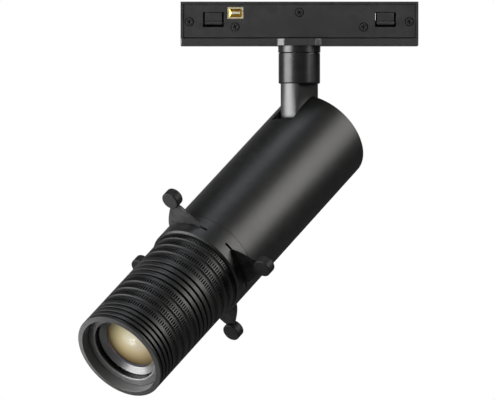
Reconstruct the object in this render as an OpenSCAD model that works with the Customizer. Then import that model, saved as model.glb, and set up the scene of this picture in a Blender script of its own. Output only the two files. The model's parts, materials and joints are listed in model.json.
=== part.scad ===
// Framing projector spotlight for a magnetic low-voltage track.
// The origin is the centre of the adapter's top face, +Z is up and -Y is the side with the first cover.
// The lamp's own frame has +X along the beam, from the rear of the tube, and +Z at its upper side.

/* [Track adapter] */
// Length of the adapter along the track
adapter_l = 130; // [116:1:180]
// Depth of the adapter across the track
adapter_d = 20; // [18:0.5:30]
// Height of the adapter with its base plate
adapter_h = 24; // [23:0.5:32]
// Height of the metal base plate
base_t = 3.8; // [3.4:0.1:5]
// Diameter of the round boss on the base plate
boss_d = 25.2; // [24:0.2:30]
// Thickness of each side cover
cover_t = 1.6; // [1.4:0.1:2]
// How far each cover lies below the edge of the housing
cover_inset = 0.3; // [0.1:0.1:0.6]
// Height of the lip above the covers
top_lip = 1.25; // [1:0.05:2]
// Width of the housing's end lips
end_lip = 1.5; // [1.2:0.1:2.5]
// Diameter of the cover screws' heads
cover_screw_head_d = 4.8; // [4:0.1:5.2]
// Length of each holding magnet
magnet_l = 20; // [12:1:21]

/* [Latches and contacts] */
// Distance of the latch tabs from the middle of the adapter
latch_x = 47; // [45.5:0.5:48]
// Width of each latch window
latch_window_w = 11.4; // [9:0.1:12]
// Height of each latch window
latch_window_h = 8.15; // [7:0.05:9]
// Width of the cut round each latch tab
latch_cut = 1.05; // [0.8:0.05:1.4]
// How far the latch nose stands out of the cover
latch_nose = 0.9; // [0.5:0.1:1.2]
// Distance of the contacts from the middle of the adapter
contact_x = 34.95; // [33:0.05:36]
// Width of each contact
contact_w = 8; // [6:0.1:9]
// Height of each contact
contact_h = 5.7; // [4.8:0.1:6]
// How far each contact stands out of the cover
contact_out = 1; // [0.5:0.1:1.2]

/* [Swivel] */
// Diameter of the fixed collar under the base plate
collar_d = 23.2; // [22:0.1:25]
// Height of the collar
collar_h = 3.7; // [3:0.1:6]
// Diameter of the stem
stem_d = 22.8; // [22:0.1:24]
// Length of the stem
stem_l = 16.8; // [14:0.1:24]
// Diameter of the knuckle before its flats are cut
knuckle_d = 21; // [18:0.1:22]
// Thickness of the knuckle across its flats
knuckle_t = 12.7; // [11:0.1:12.8]
// Distance from the stem's lower end to the tilt axis
pivot_below_stem = 17.5; // [15.5:0.1:22]
// How far the centre of the knuckle's round end lies above the tilt axis
knuckle_round_up = 3.6; // [0:0.1:4]
// Diameter of the hollow pan spindle
spindle_d = 10; // [8:0.1:11]
// Diameter of the bore for the wires
wire_bore_d = 6; // [5:0.1:6.4]
// Diameter of the tilt screw's shoulder
tilt_shoulder_d = 5; // [4:0.1:6]

/* [Pose at rest] */
// Pan of the lamp from the adapter's first side
pan = 40.3; // [-90:0.1:90]
// Tilt of the lamp below the horizontal
tilt = 35.2; // [0:0.1:90]

/* [Tube] */
// Outer diameter of the tube
tube_d = 55; // [53:0.5:70]
// Wall of the tube
tube_wall = 2; // [1.5:0.1:2.5]
// Length of the tube up to the shutter housing
tube_l = 114.7; // [105:0.1:150]
// Width of the slot for the knuckle
slot_w = 14; // [13.9:0.1:15]
// Length of the slot from the rear end
slot_l = 23.3; // [21:0.1:26]
// Distance of the tilt axis from the rear end
pivot_x = 9; // [8:0.1:10]
// Distance of the tilt axis above the beam axis
pivot_z = 19.6; // [18:0.1:20]
// Thickness of the rear cap
rear_cap_t = 2; // [1.5:0.1:3]

/* [Light engine] */
// Length of the heat sink
heat_sink_l = 33; // [24:1:40]
// Number of cooling fins
fins = 24; // [12:1:30]
// Radius of the lit surface of the lamp chip
chip_r = 7; // [5:0.5:9]
// Length of the reflector
reflector_l = 30; // [20:1:34]

/* [Shutters] */
// Length of the shutter housing
shutter_housing_l = 15; // [14:0.5:24]
// Distance of the shutters from the rear of their housing
shutter_plane = 7.4; // [7:0.1:9]
// Thickness of one shutter blade
blade_t = 0.6; // [0.4:0.05:0.8]
// Half the width of a blade where it leaves the housing
blade_half_w = 10.9; // [8:0.1:11.5]
// Half the angle that each slot spans
slot_half_angle = 32; // [28:1:36]
// Distance of a knob's centre from the surface of the housing
knob_out = 16; // [15:0.1:20]
// Diameter of a shutter knob
knob_d = 10; // [8:0.1:11]
// Length of a shutter knob
knob_l = 5.7; // [4:0.1:8]
// Radius of the gate's opening
gate_r = 10.5; // [8:0.1:12]

/* [Lens barrel] */
// Outer diameter of the lens barrel
barrel_d = 52; // [43.5:0.5:52.5]
// Length of the focus ring, the front part of the barrel
focus_ring_l = 38.4; // [38.4:0.1:45]
// Length of the zoom ring, the rear part of the barrel
zoom_ring_l = 36.5; // [36:0.1:44]
// Wall of the focus and zoom rings, from the lens tube to their outside
ring_wall = 5; // [4.6:0.1:6]
// Wall of the lens tube
lens_tube_wall = 2; // [1.8:0.1:2.5]
// Width of the turned grooves
groove_w = 1.3; // [0.8:0.1:1.6]
// Depth of the turned grooves
groove_depth = 1.5; // [0.8:0.1:2]
// Pitch of the front ring's grooves
focus_groove_pitch = 3.2; // [2.6:0.1:3.3]
// Pitch of the rear ring's grooves
zoom_groove_pitch = 3.85; // [3:0.05:3.9]
// Pitch of the hollows between the knurled bands
band_pitch = 6.1; // [5:0.05:6.2]
// Width of the hollows between the knurled bands
hollow_w = 2.4; // [1.6:0.1:3]
// Depth of the hollows between the knurled bands
hollow_depth = 0.7; // [0.4:0.1:1]
// Depth of the front recess
mouth_depth = 5.35; // [4:0.05:8]
// Width of the front rim
rim_w = 3; // [2.4:0.1:4]
// Width of the front baffle
baffle_w = 4.4; // [4:0.1:5]
// Wall of the cells that hold the lenses
cell_wall = 2.5; // [2:0.1:3.5]
// How far the retaining ring covers the edge of the front lens
lens_cover = 1.7; // [1:0.1:2.5]
// Radius of curvature of the front lens
front_lens_curve = 36; // [30:1:60]
// Travel of the zoom lens
zoom_travel = 15; // [8:1:16]
// Turn of the zoom ring
zoom_turn = 90; // [60:1:120]

/* [Hidden] */
$fn = 96;
small_fn = 32;
overshoot = 1;
// Clearances: running fit, slide fit, thread, and the line between fixed pieces
fit = 0.06;
slide = 0.1;
thread = 0.02;
seam = 0.05;
joint_gap = 0.2;

// Adapter heights, measured down from its top face
frame_h = adapter_h - base_t;
panel_gap = 0.1;
panel_bottom_gap = 0.55;
panel_l = adapter_l - 2 * (end_lip + panel_gap);
inner_d = adapter_d - 2 * (cover_inset + cover_t);
cover_face = adapter_d / 2 - cover_inset;
top_wall = 2.6;
bottom_wall = 2;
end_wall = 2.6;
post_r = 2.5;
cover_screw_r = 0.9;
cover_screw_l = 6;
cover_head_t = 0.9;
cover_head_recess = 0.05;
// Places of the cover screws: end, inner and middle, as [x, z]
end_screw = [adapter_l / 2 - end_wall - post_r + 0.2, -0.545 * frame_h];
inner_screw = [contact_x + 0.15, -frame_h + 6.3];
middle_screw = [0, -top_wall - 3.3];
screw_places = [
    [-end_screw[0], end_screw[1]],
    [-inner_screw[0], inner_screw[1]],
    middle_screw,
    inner_screw,
    end_screw];
magnet_w = 12;
magnet_t = 2.2;
magnet_x = 6;
base_screw_x = adapter_l / 2 - 10;
base_screw_r = 1;
base_head_r = 2.1;
base_head_t = 1.6;
base_end_chamfer = 1;
boss_fillet = 6;

latch_top = -5.75;
latch_hinge_gap = 0.15;
latch_tab_w = latch_window_w - 2 * latch_cut;
latch_tab_bottom = latch_top - latch_window_h + 1.15 * latch_cut;
latch_crease = latch_tab_bottom + 2;
contact_z = -6.2;
contact_body_l = 5.2;
snout_wall = 0.3;
carrier_margin = 1.9;
leaf_t = 0.3;
leaf_h = 4;

board_t = 1.2;
board_half_w = 6.8;
board_top = inner_screw[1] + post_r + 0.1 + board_t;
board_half_l = end_screw[0] - post_r - 1.6;
// Screens that close the view between the two sides' latch windows
choke_end = board_half_l - 9;
screen_inner = latch_x - 6;
screen_outer = latch_x + 7;
screen_t = 1.2;

// Swivel heights
collar_bottom = -adapter_h - collar_h;
stem_top = collar_bottom - joint_gap;
stem_bottom = stem_top - stem_l;
pivot_drop = stem_bottom - pivot_below_stem;
spindle_r = spindle_d / 2;
spigot_r = 8;
spigot_top = stem_top - 5.2;
spindle_bottom = spigot_top - 8;
washer_t = 0.8;
pan_nut_t = 3.5;
pan_nut_af = 13;
washer_top = -frame_h + bottom_wall + washer_t;
spindle_top = washer_top + pan_nut_t + 0.5;
stem_fillet = 0.8;
wire_r = 0.8;
wire_exit = stem_bottom - 5.3;

// Lamp: distances along the beam from the rear end
tube_r = tube_d / 2;
bore_r = tube_r - tube_wall;
inside_r = bore_r - slide;
bracket_x = rear_cap_t + seam;
bracket_front = slot_l + 3.7;
cheek_in = slot_w / 2 + seam;
cheek_t = 3.95;
web_top = pivot_z - knuckle_d / 2 - 0.7;
web_bottom = -8;
tilt_head_r = 3.2;
tilt_head_t = 1.6;
tilt_thread_r = 2;
tilt_washer_r = 4.5;
lamp_screw_y = 7.5;
lamp_screw_r = 1.5;
lamp_screw_head_r = 2.8;
lamp_wire_z = 0;
sink_x = bracket_front + seam;
sink_front = sink_x + heat_sink_l;
sink_base_t = 8;
sink_core_r = 8;
fin_t = 1.4;
led_board_t = 1.6;
led_board_r = 18;
chip_t = 1;
holder_t = 4.4;
board_front = sink_front + led_board_t;
reflector_x = board_front + holder_t;
reflector_front = reflector_x + reflector_l;
reflector_t = 1;
condenser_ring_l = 10;
condenser_wall = 3.4;
condenser_r = inside_r - condenser_wall;
condenser_edge = 3;
condenser_curve = 40;

// Shutter housing
housing_x = tube_l + seam;
housing_front = tube_l + shutter_housing_l;
spigot_l = 6;
cavity_r = inside_r - 1;
plate_r = cavity_r - slide;
slot_t = 2 * blade_t + 0.2;
slot_x = tube_l + shutter_plane;
gate_gap = slot_t + slide;
gate_t = 1;
flange_t = 2.5;
flange_x = slot_x + gate_gap / 2;
front_wall_x = flange_x + flange_t + seam;
gate_screw_r = 1;
gate_boss_r = 1.6;
gate_screw_ring = plate_r - gate_boss_r;
gate_head_r = 1.5;
gate_head_t = 1.5;
housing_bevel = 1;
knob_ring = tube_r + knob_out;
knob_edge = 0.8;
blade_neck = 3.5;
blade_inner = gate_r + 0.7;
blade_seat = 3;

// Lens barrel
barrel_r = barrel_d / 2;
lens_tube_r = barrel_r - ring_wall;
lens_bore_r = lens_tube_r - lens_tube_wall;
zoom_x = housing_front + 0.4;
zoom_front = zoom_x + zoom_ring_l;
focus_x = zoom_front + joint_gap;
front = focus_x + focus_ring_l;
front_land = 2.5;
focus_band_land = 0.95;
zoom_band_land = 1.6;
clip_t = 1;
clip_x = zoom_front - 1.7;
clip_groove_r = lens_tube_r - 0.75;
clip_r = lens_tube_r + 1.1;
zoom_carriage_x = zoom_x + 5;
zoom_carriage_l = 12;
zoom_pin_r = 1.2;
zoom_pin_x = zoom_carriage_x + 6;
cam_depth = 1.9;
cam_steps = 30;
carriage_r = lens_bore_r - fit;
zoom_lens_r = carriage_r - cell_wall;
zoom_lens_curve = 42;
mouth_r = barrel_r - rim_w;
baffle_r = mouth_r - baffle_w;
baffle_seat_r = mouth_r - 0.4;
baffle_t = 1.25;
baffle_x = front - mouth_depth - baffle_t;
lens_tube_front = front - 16;
shoulder_x = front - 15;
shoulder_t = 2;
flange_front = shoulder_x + shoulder_t + 1.8;
focus_carriage_x = focus_x + 0.6;
focus_key_r = 1.4;
focus_key_x = focus_carriage_x + 4;
front_lens_r = carriage_r - cell_wall;
front_lens_edge = 3.2;
front_clear_r = front_lens_r - lens_cover;
lens_seat_x = shoulder_x;
retainer_x = lens_seat_x + front_lens_edge;
cell_front = front - 10.4;
retainer_front = front - 8.9;
cell_r = baffle_r - 0.3;
lip_x = retainer_x + sag(front_lens_curve, front_lens_r) - sag(front_lens_curve, front_clear_r) + 0.15;
// Sag of a spherical face at a radius
function sag(curve, r) = curve - sqrt(curve * curve - r * r);

// ---- Shared shapes ----

// Box between two corners
module block(x1, x2, y1, y2, z1, z2)
    translate([x1, y1, z1]) cube([x2 - x1, y2 - y1, z2 - z1]);

// Solid turned about the beam axis from [x, radius] points
module turned(points)
    rotate([0, 90, 0]) rotate_extrude() polygon([for (p = points) [p[1], p[0]]]);

// Plain rod and ring on the beam axis
module rod(x1, x2, r)
    translate([x1, 0, 0]) rotate([0, 90, 0]) cylinder(r = r, h = x2 - x1);

module ring(x1, x2, outer, inner)
    difference() {
        rod(x1, x2, outer);
        rod(x1 - overshoot, x2 + overshoot, inner);
    }

// Tube on the vertical axis
module vertical_ring(z1, z2, outer, inner)
    translate([0, 0, z1]) difference() {
        cylinder(r = outer, h = z2 - z1);
        translate([0, 0, -overshoot]) cylinder(r = inner, h = z2 - z1 + 2 * overshoot);
    }

// Cylinder across the adapter, from y1 to y2
module cross_rod(p, y1, y2, r)
    translate([p[0], y2, p[1]]) rotate([90, 0, 0]) cylinder(r = r, h = y2 - y1, $fn = small_fn);

// Frames of the swivel and the lamp
module swivel_frame()
    rotate([0, 0, -90 - pan]) children();

module lamp_frame()
    translate([0, 0, pivot_drop]) swivel_frame()
        rotate([0, tilt, 0]) translate([-pivot_x, 0, -pivot_z]) children();

// ---- Track adapter ----

module housing()
    color("#2b2b2d") difference() {
        union() {
            block(-adapter_l / 2, adapter_l / 2, -adapter_d / 2, adapter_d / 2, -top_lip, 0);
            block(-adapter_l / 2, adapter_l / 2, -inner_d / 2, inner_d / 2, -top_wall, 0);
            block(-adapter_l / 2, adapter_l / 2, -inner_d / 2, inner_d / 2,
                -frame_h, -frame_h + bottom_wall);
            for (side = [-1, 1]) scale([side, 1, 1]) {
                block(adapter_l / 2 - end_lip, adapter_l / 2, -adapter_d / 2, adapter_d / 2,
                    -frame_h, 0);
                block(adapter_l / 2 - end_wall, adapter_l / 2, -inner_d / 2, inner_d / 2,
                    -frame_h, 0);
            }
            for (p = screw_places) cross_rod(p, -inner_d / 2, inner_d / 2, post_r);
            // Ribs that tie the posts to the walls
            block(-0.8, 0.8, -inner_d / 2, inner_d / 2, middle_screw[1], -top_lip);
            for (side = [-1, 1])
                block(side * inner_screw[0] - 0.8, side * inner_screw[0] + 0.8,
                    -inner_d / 2, inner_d / 2, -frame_h + 0.5, inner_screw[1]);
            // Screens behind the latches, above and below the driver board
            block(-choke_end + seam, -screen_inner, -screen_t / 2, screen_t / 2,
                board_top + seam, -top_wall + 0.5);
            block(screen_inner + 0.8, screen_outer, -screen_t / 2, screen_t / 2,
                board_top + seam, -top_wall + 0.5);
            for (side = [-1, 1]) scale([side, 1, 1])
                block(screen_inner, screen_outer, -screen_t / 2, screen_t / 2,
                    -frame_h + 0.5, board_top - board_t - seam);
        }
        for (p = screw_places) cross_rod(p, -adapter_d, adapter_d, cover_screw_r);
        for (side = [-1, 1]) {
            magnet_pocket(side);
            translate([side * base_screw_x, 0, -frame_h - overshoot])
                cylinder(r = base_screw_r, h = bottom_wall + 2 * overshoot, $fn = small_fn);
        }
        translate([0, 0, -frame_h - overshoot])
            cylinder(r = spindle_r + fit, h = bottom_wall + 2 * overshoot);
    }

module magnet_pocket(side)
    block(min(side * magnet_x, side * (magnet_x + magnet_l)) - seam,
        max(side * magnet_x, side * (magnet_x + magnet_l)) + seam,
        -magnet_w / 2 - seam, magnet_w / 2 + seam, -magnet_t, overshoot);

module magnets()
    color("#8d8f92") for (side = [-1, 1])
        block(min(side * magnet_x, side * (magnet_x + magnet_l)),
            max(side * magnet_x, side * (magnet_x + magnet_l)),
            -magnet_w / 2, magnet_w / 2, -magnet_t, 0);

// Side cover, drawn for the first side
module cover_panel()
    difference() {
        block(-panel_l / 2, panel_l / 2, -cover_face, -cover_face + cover_t,
            -frame_h + panel_bottom_gap, -top_lip - panel_gap);
        for (p = screw_places) {
            cross_rod(p, -adapter_d, adapter_d, cover_screw_r + slide);
            cross_rod(p, -adapter_d, -cover_face + cover_head_t + cover_head_recess,
                cover_screw_head_d / 2 + slide);
        }
        for (side = [-1, 1])
            block(side * latch_x - latch_window_w / 2, side * latch_x + latch_window_w / 2,
                -adapter_d, 0, latch_top - latch_window_h, latch_top);
        contact_prism(snout_wall + slide + seam, -adapter_d, 0);
    }

module front_cover()
    color("#303032") cover_panel();

module back_cover()
    color("#303032") scale([1, -1, 1]) cover_panel();

// Prism round the contacts, grown by a margin
module contact_prism(margin, y1, y2)
    block(-contact_x - contact_w / 2 - margin, -contact_x + contact_w / 2 + margin, y1, y2,
        contact_z - contact_h / 2 - margin, contact_z + contact_h / 2 + margin);

module contact_carrier()
    color("#d9c79a") difference() {
        union() {
            block(-contact_x - contact_w / 2 - carrier_margin, -contact_x + contact_w / 2 + carrier_margin,
                -inner_d / 2 + seam, inner_d / 2 - seam, board_top + seam, -top_wall - seam);
            contact_prism(snout_wall + seam, -cover_face, cover_face);
        }
        contact_prism(seam, -adapter_d, adapter_d);
    }

// Diamond-shaped leaf spring between the two contacts
module contact_leaf() {
    reach = cover_face - contact_body_l - contact_out - 0.15;
    color("#c9a24b") translate([-contact_x, 0, contact_z - leaf_h / 2])
        linear_extrude(leaf_h) difference() {
            polygon([[-contact_w / 2, 0], [0, -reach], [contact_w / 2, 0], [0, reach]]);
            polygon([[-contact_w / 2 + 2 * leaf_t, 0], [0, -reach + 1.5 * leaf_t],
                [contact_w / 2 - 2 * leaf_t, 0], [0, reach - 1.5 * leaf_t]]);
        }
}

// Contact plunger with a bevelled nose, drawn for the first side
module contact_plunger() {
    nose_w = contact_w / 2 - 1.5;
    nose_h = contact_h / 2 - 2.2;
    contact_prism(0, -cover_face, -cover_face + contact_body_l);
    hull() {
        contact_prism(-0.2, -cover_face, -cover_face + 0.1);
        block(-contact_x - nose_w, -contact_x + nose_w, -cover_face - contact_out, -cover_face,
            contact_z - nose_h, contact_z + nose_h);
    }
}

module contact_front()
    color("#c8922c") contact_plunger();

module contact_back()
    color("#c8922c") scale([1, -1, 1]) contact_plunger();

// Latch tab with its wedge-shaped nose, drawn for the first side
module latch_tab(side)
    translate([side * latch_x - latch_tab_w / 2, 0, 0]) rotate([90, 0, 90])
        linear_extrude(latch_tab_w) polygon([
            [-cover_face, latch_top - latch_hinge_gap],
            [-cover_face + cover_t, latch_top - latch_hinge_gap],
            [-cover_face + cover_t, latch_tab_bottom],
            [-cover_face - latch_nose, latch_tab_bottom],
            [-cover_face, latch_crease]]);

module latch_front_left()
    color("#2b2b2d") latch_tab(-1);

module latch_front_right()
    color("#2b2b2d") latch_tab(1);

module latch_back_left()
    color("#2b2b2d") scale([1, -1, 1]) latch_tab(-1);

module latch_back_right()
    color("#2b2b2d") scale([1, -1, 1]) latch_tab(1);

// Cross-head screw of the side covers, drawn for the first side
module cover_screw(p) {
    face = -cover_face + cover_head_recess;
    difference() {
        union() {
            cross_rod(p, face, face + cover_head_t, cover_screw_head_d / 2);
            cross_rod(p, face, face + cover_screw_l, cover_screw_r - thread);
        }
        for (turn = [0, 90]) translate([p[0], face, p[1]]) rotate([0, turn, 0])
            block(-1.3, 1.3, -overshoot, 0.6, -0.25, 0.25);
    }
}

module cover_screws()
    color("#3a3a3c") for (side = [-1, 1]) scale([1, side, 1])
        for (p = screw_places) cover_screw(p);

// Patch that blends the boss into the straight edge of the base plate
module boss_blend() {
    reach = boss_d / 2 + boss_fillet;
    edge = adapter_d / 2;
    cx = sqrt(reach * reach - (edge + boss_fillet) * (edge + boss_fillet));
    share = boss_d / 2 / reach;
    difference() {
        polygon([[0, 0], [cx, 0], [cx, edge], [cx * share, (edge + boss_fillet) * share]]);
        translate([cx, edge + boss_fillet]) circle(r = boss_fillet);
    }
}

module base_plate()
    color("#2b2b2d") difference() {
        translate([0, 0, -adapter_h]) linear_extrude(base_t) union() {
            polygon([
                for (corner = [[1, 1], [-1, 1], [-1, -1], [1, -1]])
                    for (step = corner[0] * corner[1] > 0 ? [0, 1] : [1, 0])
                        [corner[0] * (adapter_l / 2 - step * base_end_chamfer),
                            corner[1] * (adapter_d / 2 - (1 - step) * base_end_chamfer)]]);
            circle(d = boss_d);
            for (a = [-1, 1]) for (b = [-1, 1]) scale([a, b]) boss_blend();
        }
        translate([0, 0, -adapter_h - overshoot])
            cylinder(r = spindle_r + fit, h = base_t + 2 * overshoot);
        for (side = [-1, 1]) translate([side * base_screw_x, 0, -adapter_h - overshoot]) {
            cylinder(r = base_screw_r + slide, h = base_t + 2 * overshoot, $fn = small_fn);
            cylinder(r = base_head_r + slide, h = base_head_t + seam + overshoot, $fn = small_fn);
        }
    }

module base_screws()
    color("#3a3a3c") for (side = [-1, 1]) translate([side * base_screw_x, 0, -adapter_h + seam])
        difference() {
            union() {
                cylinder(r = base_head_r, h = base_head_t, $fn = small_fn);
                cylinder(r = base_screw_r - thread, h = base_t + bottom_wall - 0.3, $fn = small_fn);
            }
            for (turn = [0, 90]) rotate([0, 0, turn]) block(-1.2, 1.2, -0.25, 0.25, -overshoot, 0.8);
        }

module driver_board()
    color("#2f6b3a") block(-board_half_l, board_half_l, -board_half_w, board_half_w,
        board_top - board_t, board_top);

// Choke, transformer, two capacitors and two chips of the dimming driver
module driver_parts() {
    top = -top_wall - 1;
    color("#1f1f21") block(9, 25, -5.5, 5.5, board_top, top);
    color("#6b4a2a") block(-board_half_l + 2, -choke_end, -4.5, 4.5, board_top, top - 2);
    for (x = [31, 38.5]) color("#30343c") translate([x, 0, board_top])
        cylinder(r = 3.1, h = top - board_top);
    for (x = [-24, -14]) color("#1f1f21") block(x, x + 7, -3, 3, board_top, board_top + 1.5);
}

// ---- Swivel ----

module pan_collar()
    color("#39393b") vertical_ring(collar_bottom, -adapter_h, collar_d / 2, spindle_r + fit);

module stem()
    color("#39393b") rotate_extrude() difference() {
        polygon([
            [spindle_r + fit, stem_top],
            [stem_d / 2 - 0.2, stem_top],
            [stem_d / 2, stem_top - 0.2],
            [stem_d / 2, stem_bottom + stem_fillet],
            [stem_d / 2 - stem_fillet, stem_bottom],
            [spigot_r + seam, stem_bottom],
            [spigot_r + seam, spigot_top + seam],
            [spindle_r + fit, spigot_top + seam]]);
    }

module knuckle()
    color("#4a4a4c") swivel_frame() difference() {
        union() {
            translate([0, 0, stem_bottom]) cylinder(r = spigot_r, h = spigot_top - stem_bottom);
            intersection() {
                translate([0, 0, pivot_drop - knuckle_d])
                    cylinder(r = knuckle_d / 2, h = stem_bottom - pivot_drop + knuckle_d);
                union() {
                    block(-knuckle_d, knuckle_d, -knuckle_t / 2, knuckle_t / 2,
                        pivot_drop + knuckle_round_up, stem_bottom);
                    translate([0, knuckle_t / 2, pivot_drop + knuckle_round_up])
                        rotate([90, 0, 0]) cylinder(r = knuckle_d / 2, h = knuckle_t);
                }
            }
        }
        translate([0, 0, spindle_bottom - seam])
            cylinder(r = spindle_r + thread, h = spigot_top - spindle_bottom + overshoot);
        translate([0, 0, wire_exit]) {
            cylinder(d = wire_bore_d, h = spindle_bottom - wire_exit, $fn = small_fn);
            sphere(d = wire_bore_d, $fn = small_fn);
            rotate([0, -90, 0]) cylinder(d = wire_bore_d - 1, h = knuckle_d, $fn = small_fn);
        }
        translate([0, knuckle_d, pivot_drop]) rotate([90, 0, 0])
            cylinder(d = tilt_shoulder_d + 2 * fit, h = 2 * knuckle_d);
    }

module spindle()
    color("#9a9b9d") vertical_ring(spindle_bottom, spindle_top, spindle_r, wire_bore_d / 2);

module pan_nut()
    color("#9a9b9d") swivel_frame() translate([0, 0, washer_top]) difference() {
        cylinder(d = pan_nut_af / cos(30), h = pan_nut_t, $fn = 6);
        translate([0, 0, -overshoot])
            cylinder(r = spindle_r + thread, h = pan_nut_t + 2 * overshoot);
    }

module pan_washer()
    color("#b9babc") vertical_ring(washer_top - washer_t, washer_top,
        pan_nut_af / 2 + 1, spindle_r + slide);

module stem_wires()
    color("#a02a22") swivel_frame() for (side = [-1, 1])
        translate([0, side * (wire_bore_d / 2 - wire_r - 0.3), wire_exit])
            cylinder(r = wire_r, h = spindle_top + 0.6 - wire_exit, $fn = small_fn);

// ---- Lamp body ----

module tube()
    color("#29292b") lamp_frame() difference() {
        turned([
            [0, bore_r],
            [0, tube_r - 0.5],
            [0.5, tube_r],
            [tube_l, tube_r],
            [tube_l, bore_r]]);
        block(-overshoot, slot_l, -slot_w / 2, slot_w / 2, 0, tube_r + overshoot);
    }

module rear_cap()
    color("#29292b") lamp_frame() difference() {
        rod(0, rear_cap_t, inside_r);
        block(-overshoot, rear_cap_t + overshoot, -slot_w / 2, slot_w / 2, web_top, tube_r);
        for (side = [-1, 1]) translate([0, side * lamp_screw_y, -lamp_screw_r]) {
            rod(-overshoot, rear_cap_t + overshoot, lamp_screw_r + slide);
            rod(-overshoot, 1.2, lamp_screw_head_r + slide);
        }
        // Vents below the screws
        for (row = [-3:3]) block(-overshoot, rear_cap_t + overshoot,
            row * 4 - 0.8, row * 4 + 0.8, -20, -10);
    }

// Screws that hold the rear cap to the bracket and the bracket to the heat sink
module lamp_screws()
    color("#3a3a3c") lamp_frame() {
        for (side = [-1, 1]) translate([0, side * lamp_screw_y, -lamp_screw_r]) {
            difference() {
                union() {
                    rod(0.1, 1.15, lamp_screw_head_r);
                    rod(0.1, 10, lamp_screw_r - thread);
                }
                for (turn = [0, 90]) rotate([turn, 0, 0])
                    block(-overshoot, 0.7, -1.4, 1.4, -0.25, 0.25);
            }
            translate([0, 0, 7.5]) {
                rod(bracket_front - 7, bracket_front - 5.05, lamp_screw_head_r);
                rod(bracket_front - 7, sink_x + 4, lamp_screw_r - thread);
            }
        }
    }

module pivot_bracket()
    color("#59595c") lamp_frame() difference() {
        intersection() {
            rod(bracket_x, bracket_front, inside_r);
            union() {
                for (side = [-1, 1]) scale([1, side, 1])
                    block(bracket_x, bracket_front, cheek_in, cheek_in + cheek_t,
                        web_bottom, tube_r);
                block(bracket_x, bracket_front, -cheek_in - cheek_t, cheek_in + cheek_t,
                    web_bottom, web_top);
                // Wall in front of the knuckle
                block(slot_l + seam, bracket_front, -cheek_in, cheek_in, web_bottom, tube_r);
            }
        }
        for (side = [-1, 1]) translate([0, side * lamp_screw_y, -lamp_screw_r]) {
            rod(bracket_x - overshoot, 10.5, lamp_screw_r);
            translate([0, 0, 7.5]) {
                rod(bracket_x - overshoot, bracket_front - 5, lamp_screw_head_r + slide);
                rod(bracket_x, bracket_front + overshoot, lamp_screw_r + slide);
            }
        }
        translate([pivot_x, 0, pivot_z]) {
            rotate([90, 0, 0])
                cylinder(d = tilt_shoulder_d + 2 * fit, h = cheek_in + cheek_t + overshoot);
            translate([0, -cheek_in - cheek_t + tilt_head_t, 0]) rotate([90, 0, 0])
                cylinder(r = tilt_head_r + slide, h = tilt_head_t + overshoot);
            rotate([-90, 0, 0]) cylinder(r = tilt_thread_r, h = cheek_in + cheek_t + overshoot);
        }
        translate([0, 0, lamp_wire_z])
            rod(bracket_x - overshoot, bracket_front + overshoot, wire_bore_d / 2);
    }

// Shoulder screw on the tilt axis
module tilt_screw()
    color("#9a9b9d") lamp_frame() translate([pivot_x, 0, pivot_z]) difference() {
        union() {
            translate([0, -cheek_in - cheek_t + tilt_head_t, 0]) rotate([90, 0, 0])
                cylinder(r = tilt_head_r, h = tilt_head_t - seam);
            translate([0, cheek_in - seam, 0]) rotate([90, 0, 0])
                cylinder(d = tilt_shoulder_d, h = 2 * cheek_in + cheek_t - tilt_head_t);
            rotate([-90, 0, 0])
                cylinder(r = tilt_thread_r - thread, h = cheek_in + cheek_t - seam);
        }
        translate([0, -cheek_in - cheek_t + 1, 0]) rotate([90, 0, 0])
            cylinder(r = 1.6, h = 2, $fn = 6);
    }

module tilt_washers()
    color("#b9babc") lamp_frame() for (side = [-1, 1])
        translate([pivot_x, side * (knuckle_t / 2 + cheek_in) / 2, pivot_z]) rotate([90, 0, 0])
            difference() {
                cylinder(r = tilt_washer_r, h = cheek_in - knuckle_t / 2 - seam, center = true);
                cylinder(d = tilt_shoulder_d + 2 * slide, h = 2, center = true);
            }

module heat_sink()
    color("#8d8f92") lamp_frame() difference() {
        union() {
            rod(sink_front - sink_base_t, sink_front, inside_r);
            rod(sink_x, sink_front, sink_core_r);
            intersection() {
                rod(sink_x, sink_front, inside_r);
                for (i = [0:fins - 1]) rotate([i * 360 / fins, 0, 0])
                    block(sink_x, sink_front - overshoot, -fin_t / 2, fin_t / 2, 0, tube_r);
            }
        }
        translate([0, 0, lamp_wire_z])
            rod(sink_x - overshoot, sink_front + overshoot, wire_bore_d / 2);
        for (side = [-1, 1]) translate([0, side * lamp_screw_y, 7.5 - lamp_screw_r])
            rod(sink_x - overshoot, sink_x + 5, lamp_screw_r);
    }

module lamp_wires()
    color("#a02a22") lamp_frame() for (side = [-1, 1])
        translate([0, side * (wire_bore_d / 2 - wire_r - 0.3), lamp_wire_z])
            rod(bracket_x + 8, sink_front - seam, wire_r);

// ---- Light engine ----

module led_board()
    color("#d8d8d4") lamp_frame() rod(sink_front, board_front, led_board_r);

module led_chip()
    color("#e8c24a") lamp_frame() rod(board_front, board_front + chip_t, chip_r);

module led_holder()
    color("#efefec") lamp_frame() turned([
        [board_front, chip_r + 0.2],
        [board_front, led_board_r],
        [reflector_x - 1.5, led_board_r],
        [reflector_x, led_board_r - 3],
        [reflector_x, chip_r + 2]]);

module reflector()
    color("#d5d7da") lamp_frame() turned([
        [reflector_x, chip_r + 2.2],
        [reflector_x, chip_r + 2.2 + reflector_t],
        [reflector_front, condenser_r + reflector_t],
        [reflector_front, condenser_r]]);

module condenser_ring()
    color("#39393b") lamp_frame() turned([
        [reflector_front, condenser_r - 0.5],
        [reflector_front, inside_r],
        [reflector_front + condenser_ring_l, inside_r],
        [reflector_front + condenser_ring_l, condenser_r + slide],
        [reflector_front + 2, condenser_r + slide],
        [reflector_front + 2, condenser_r - 0.5]]);

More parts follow.
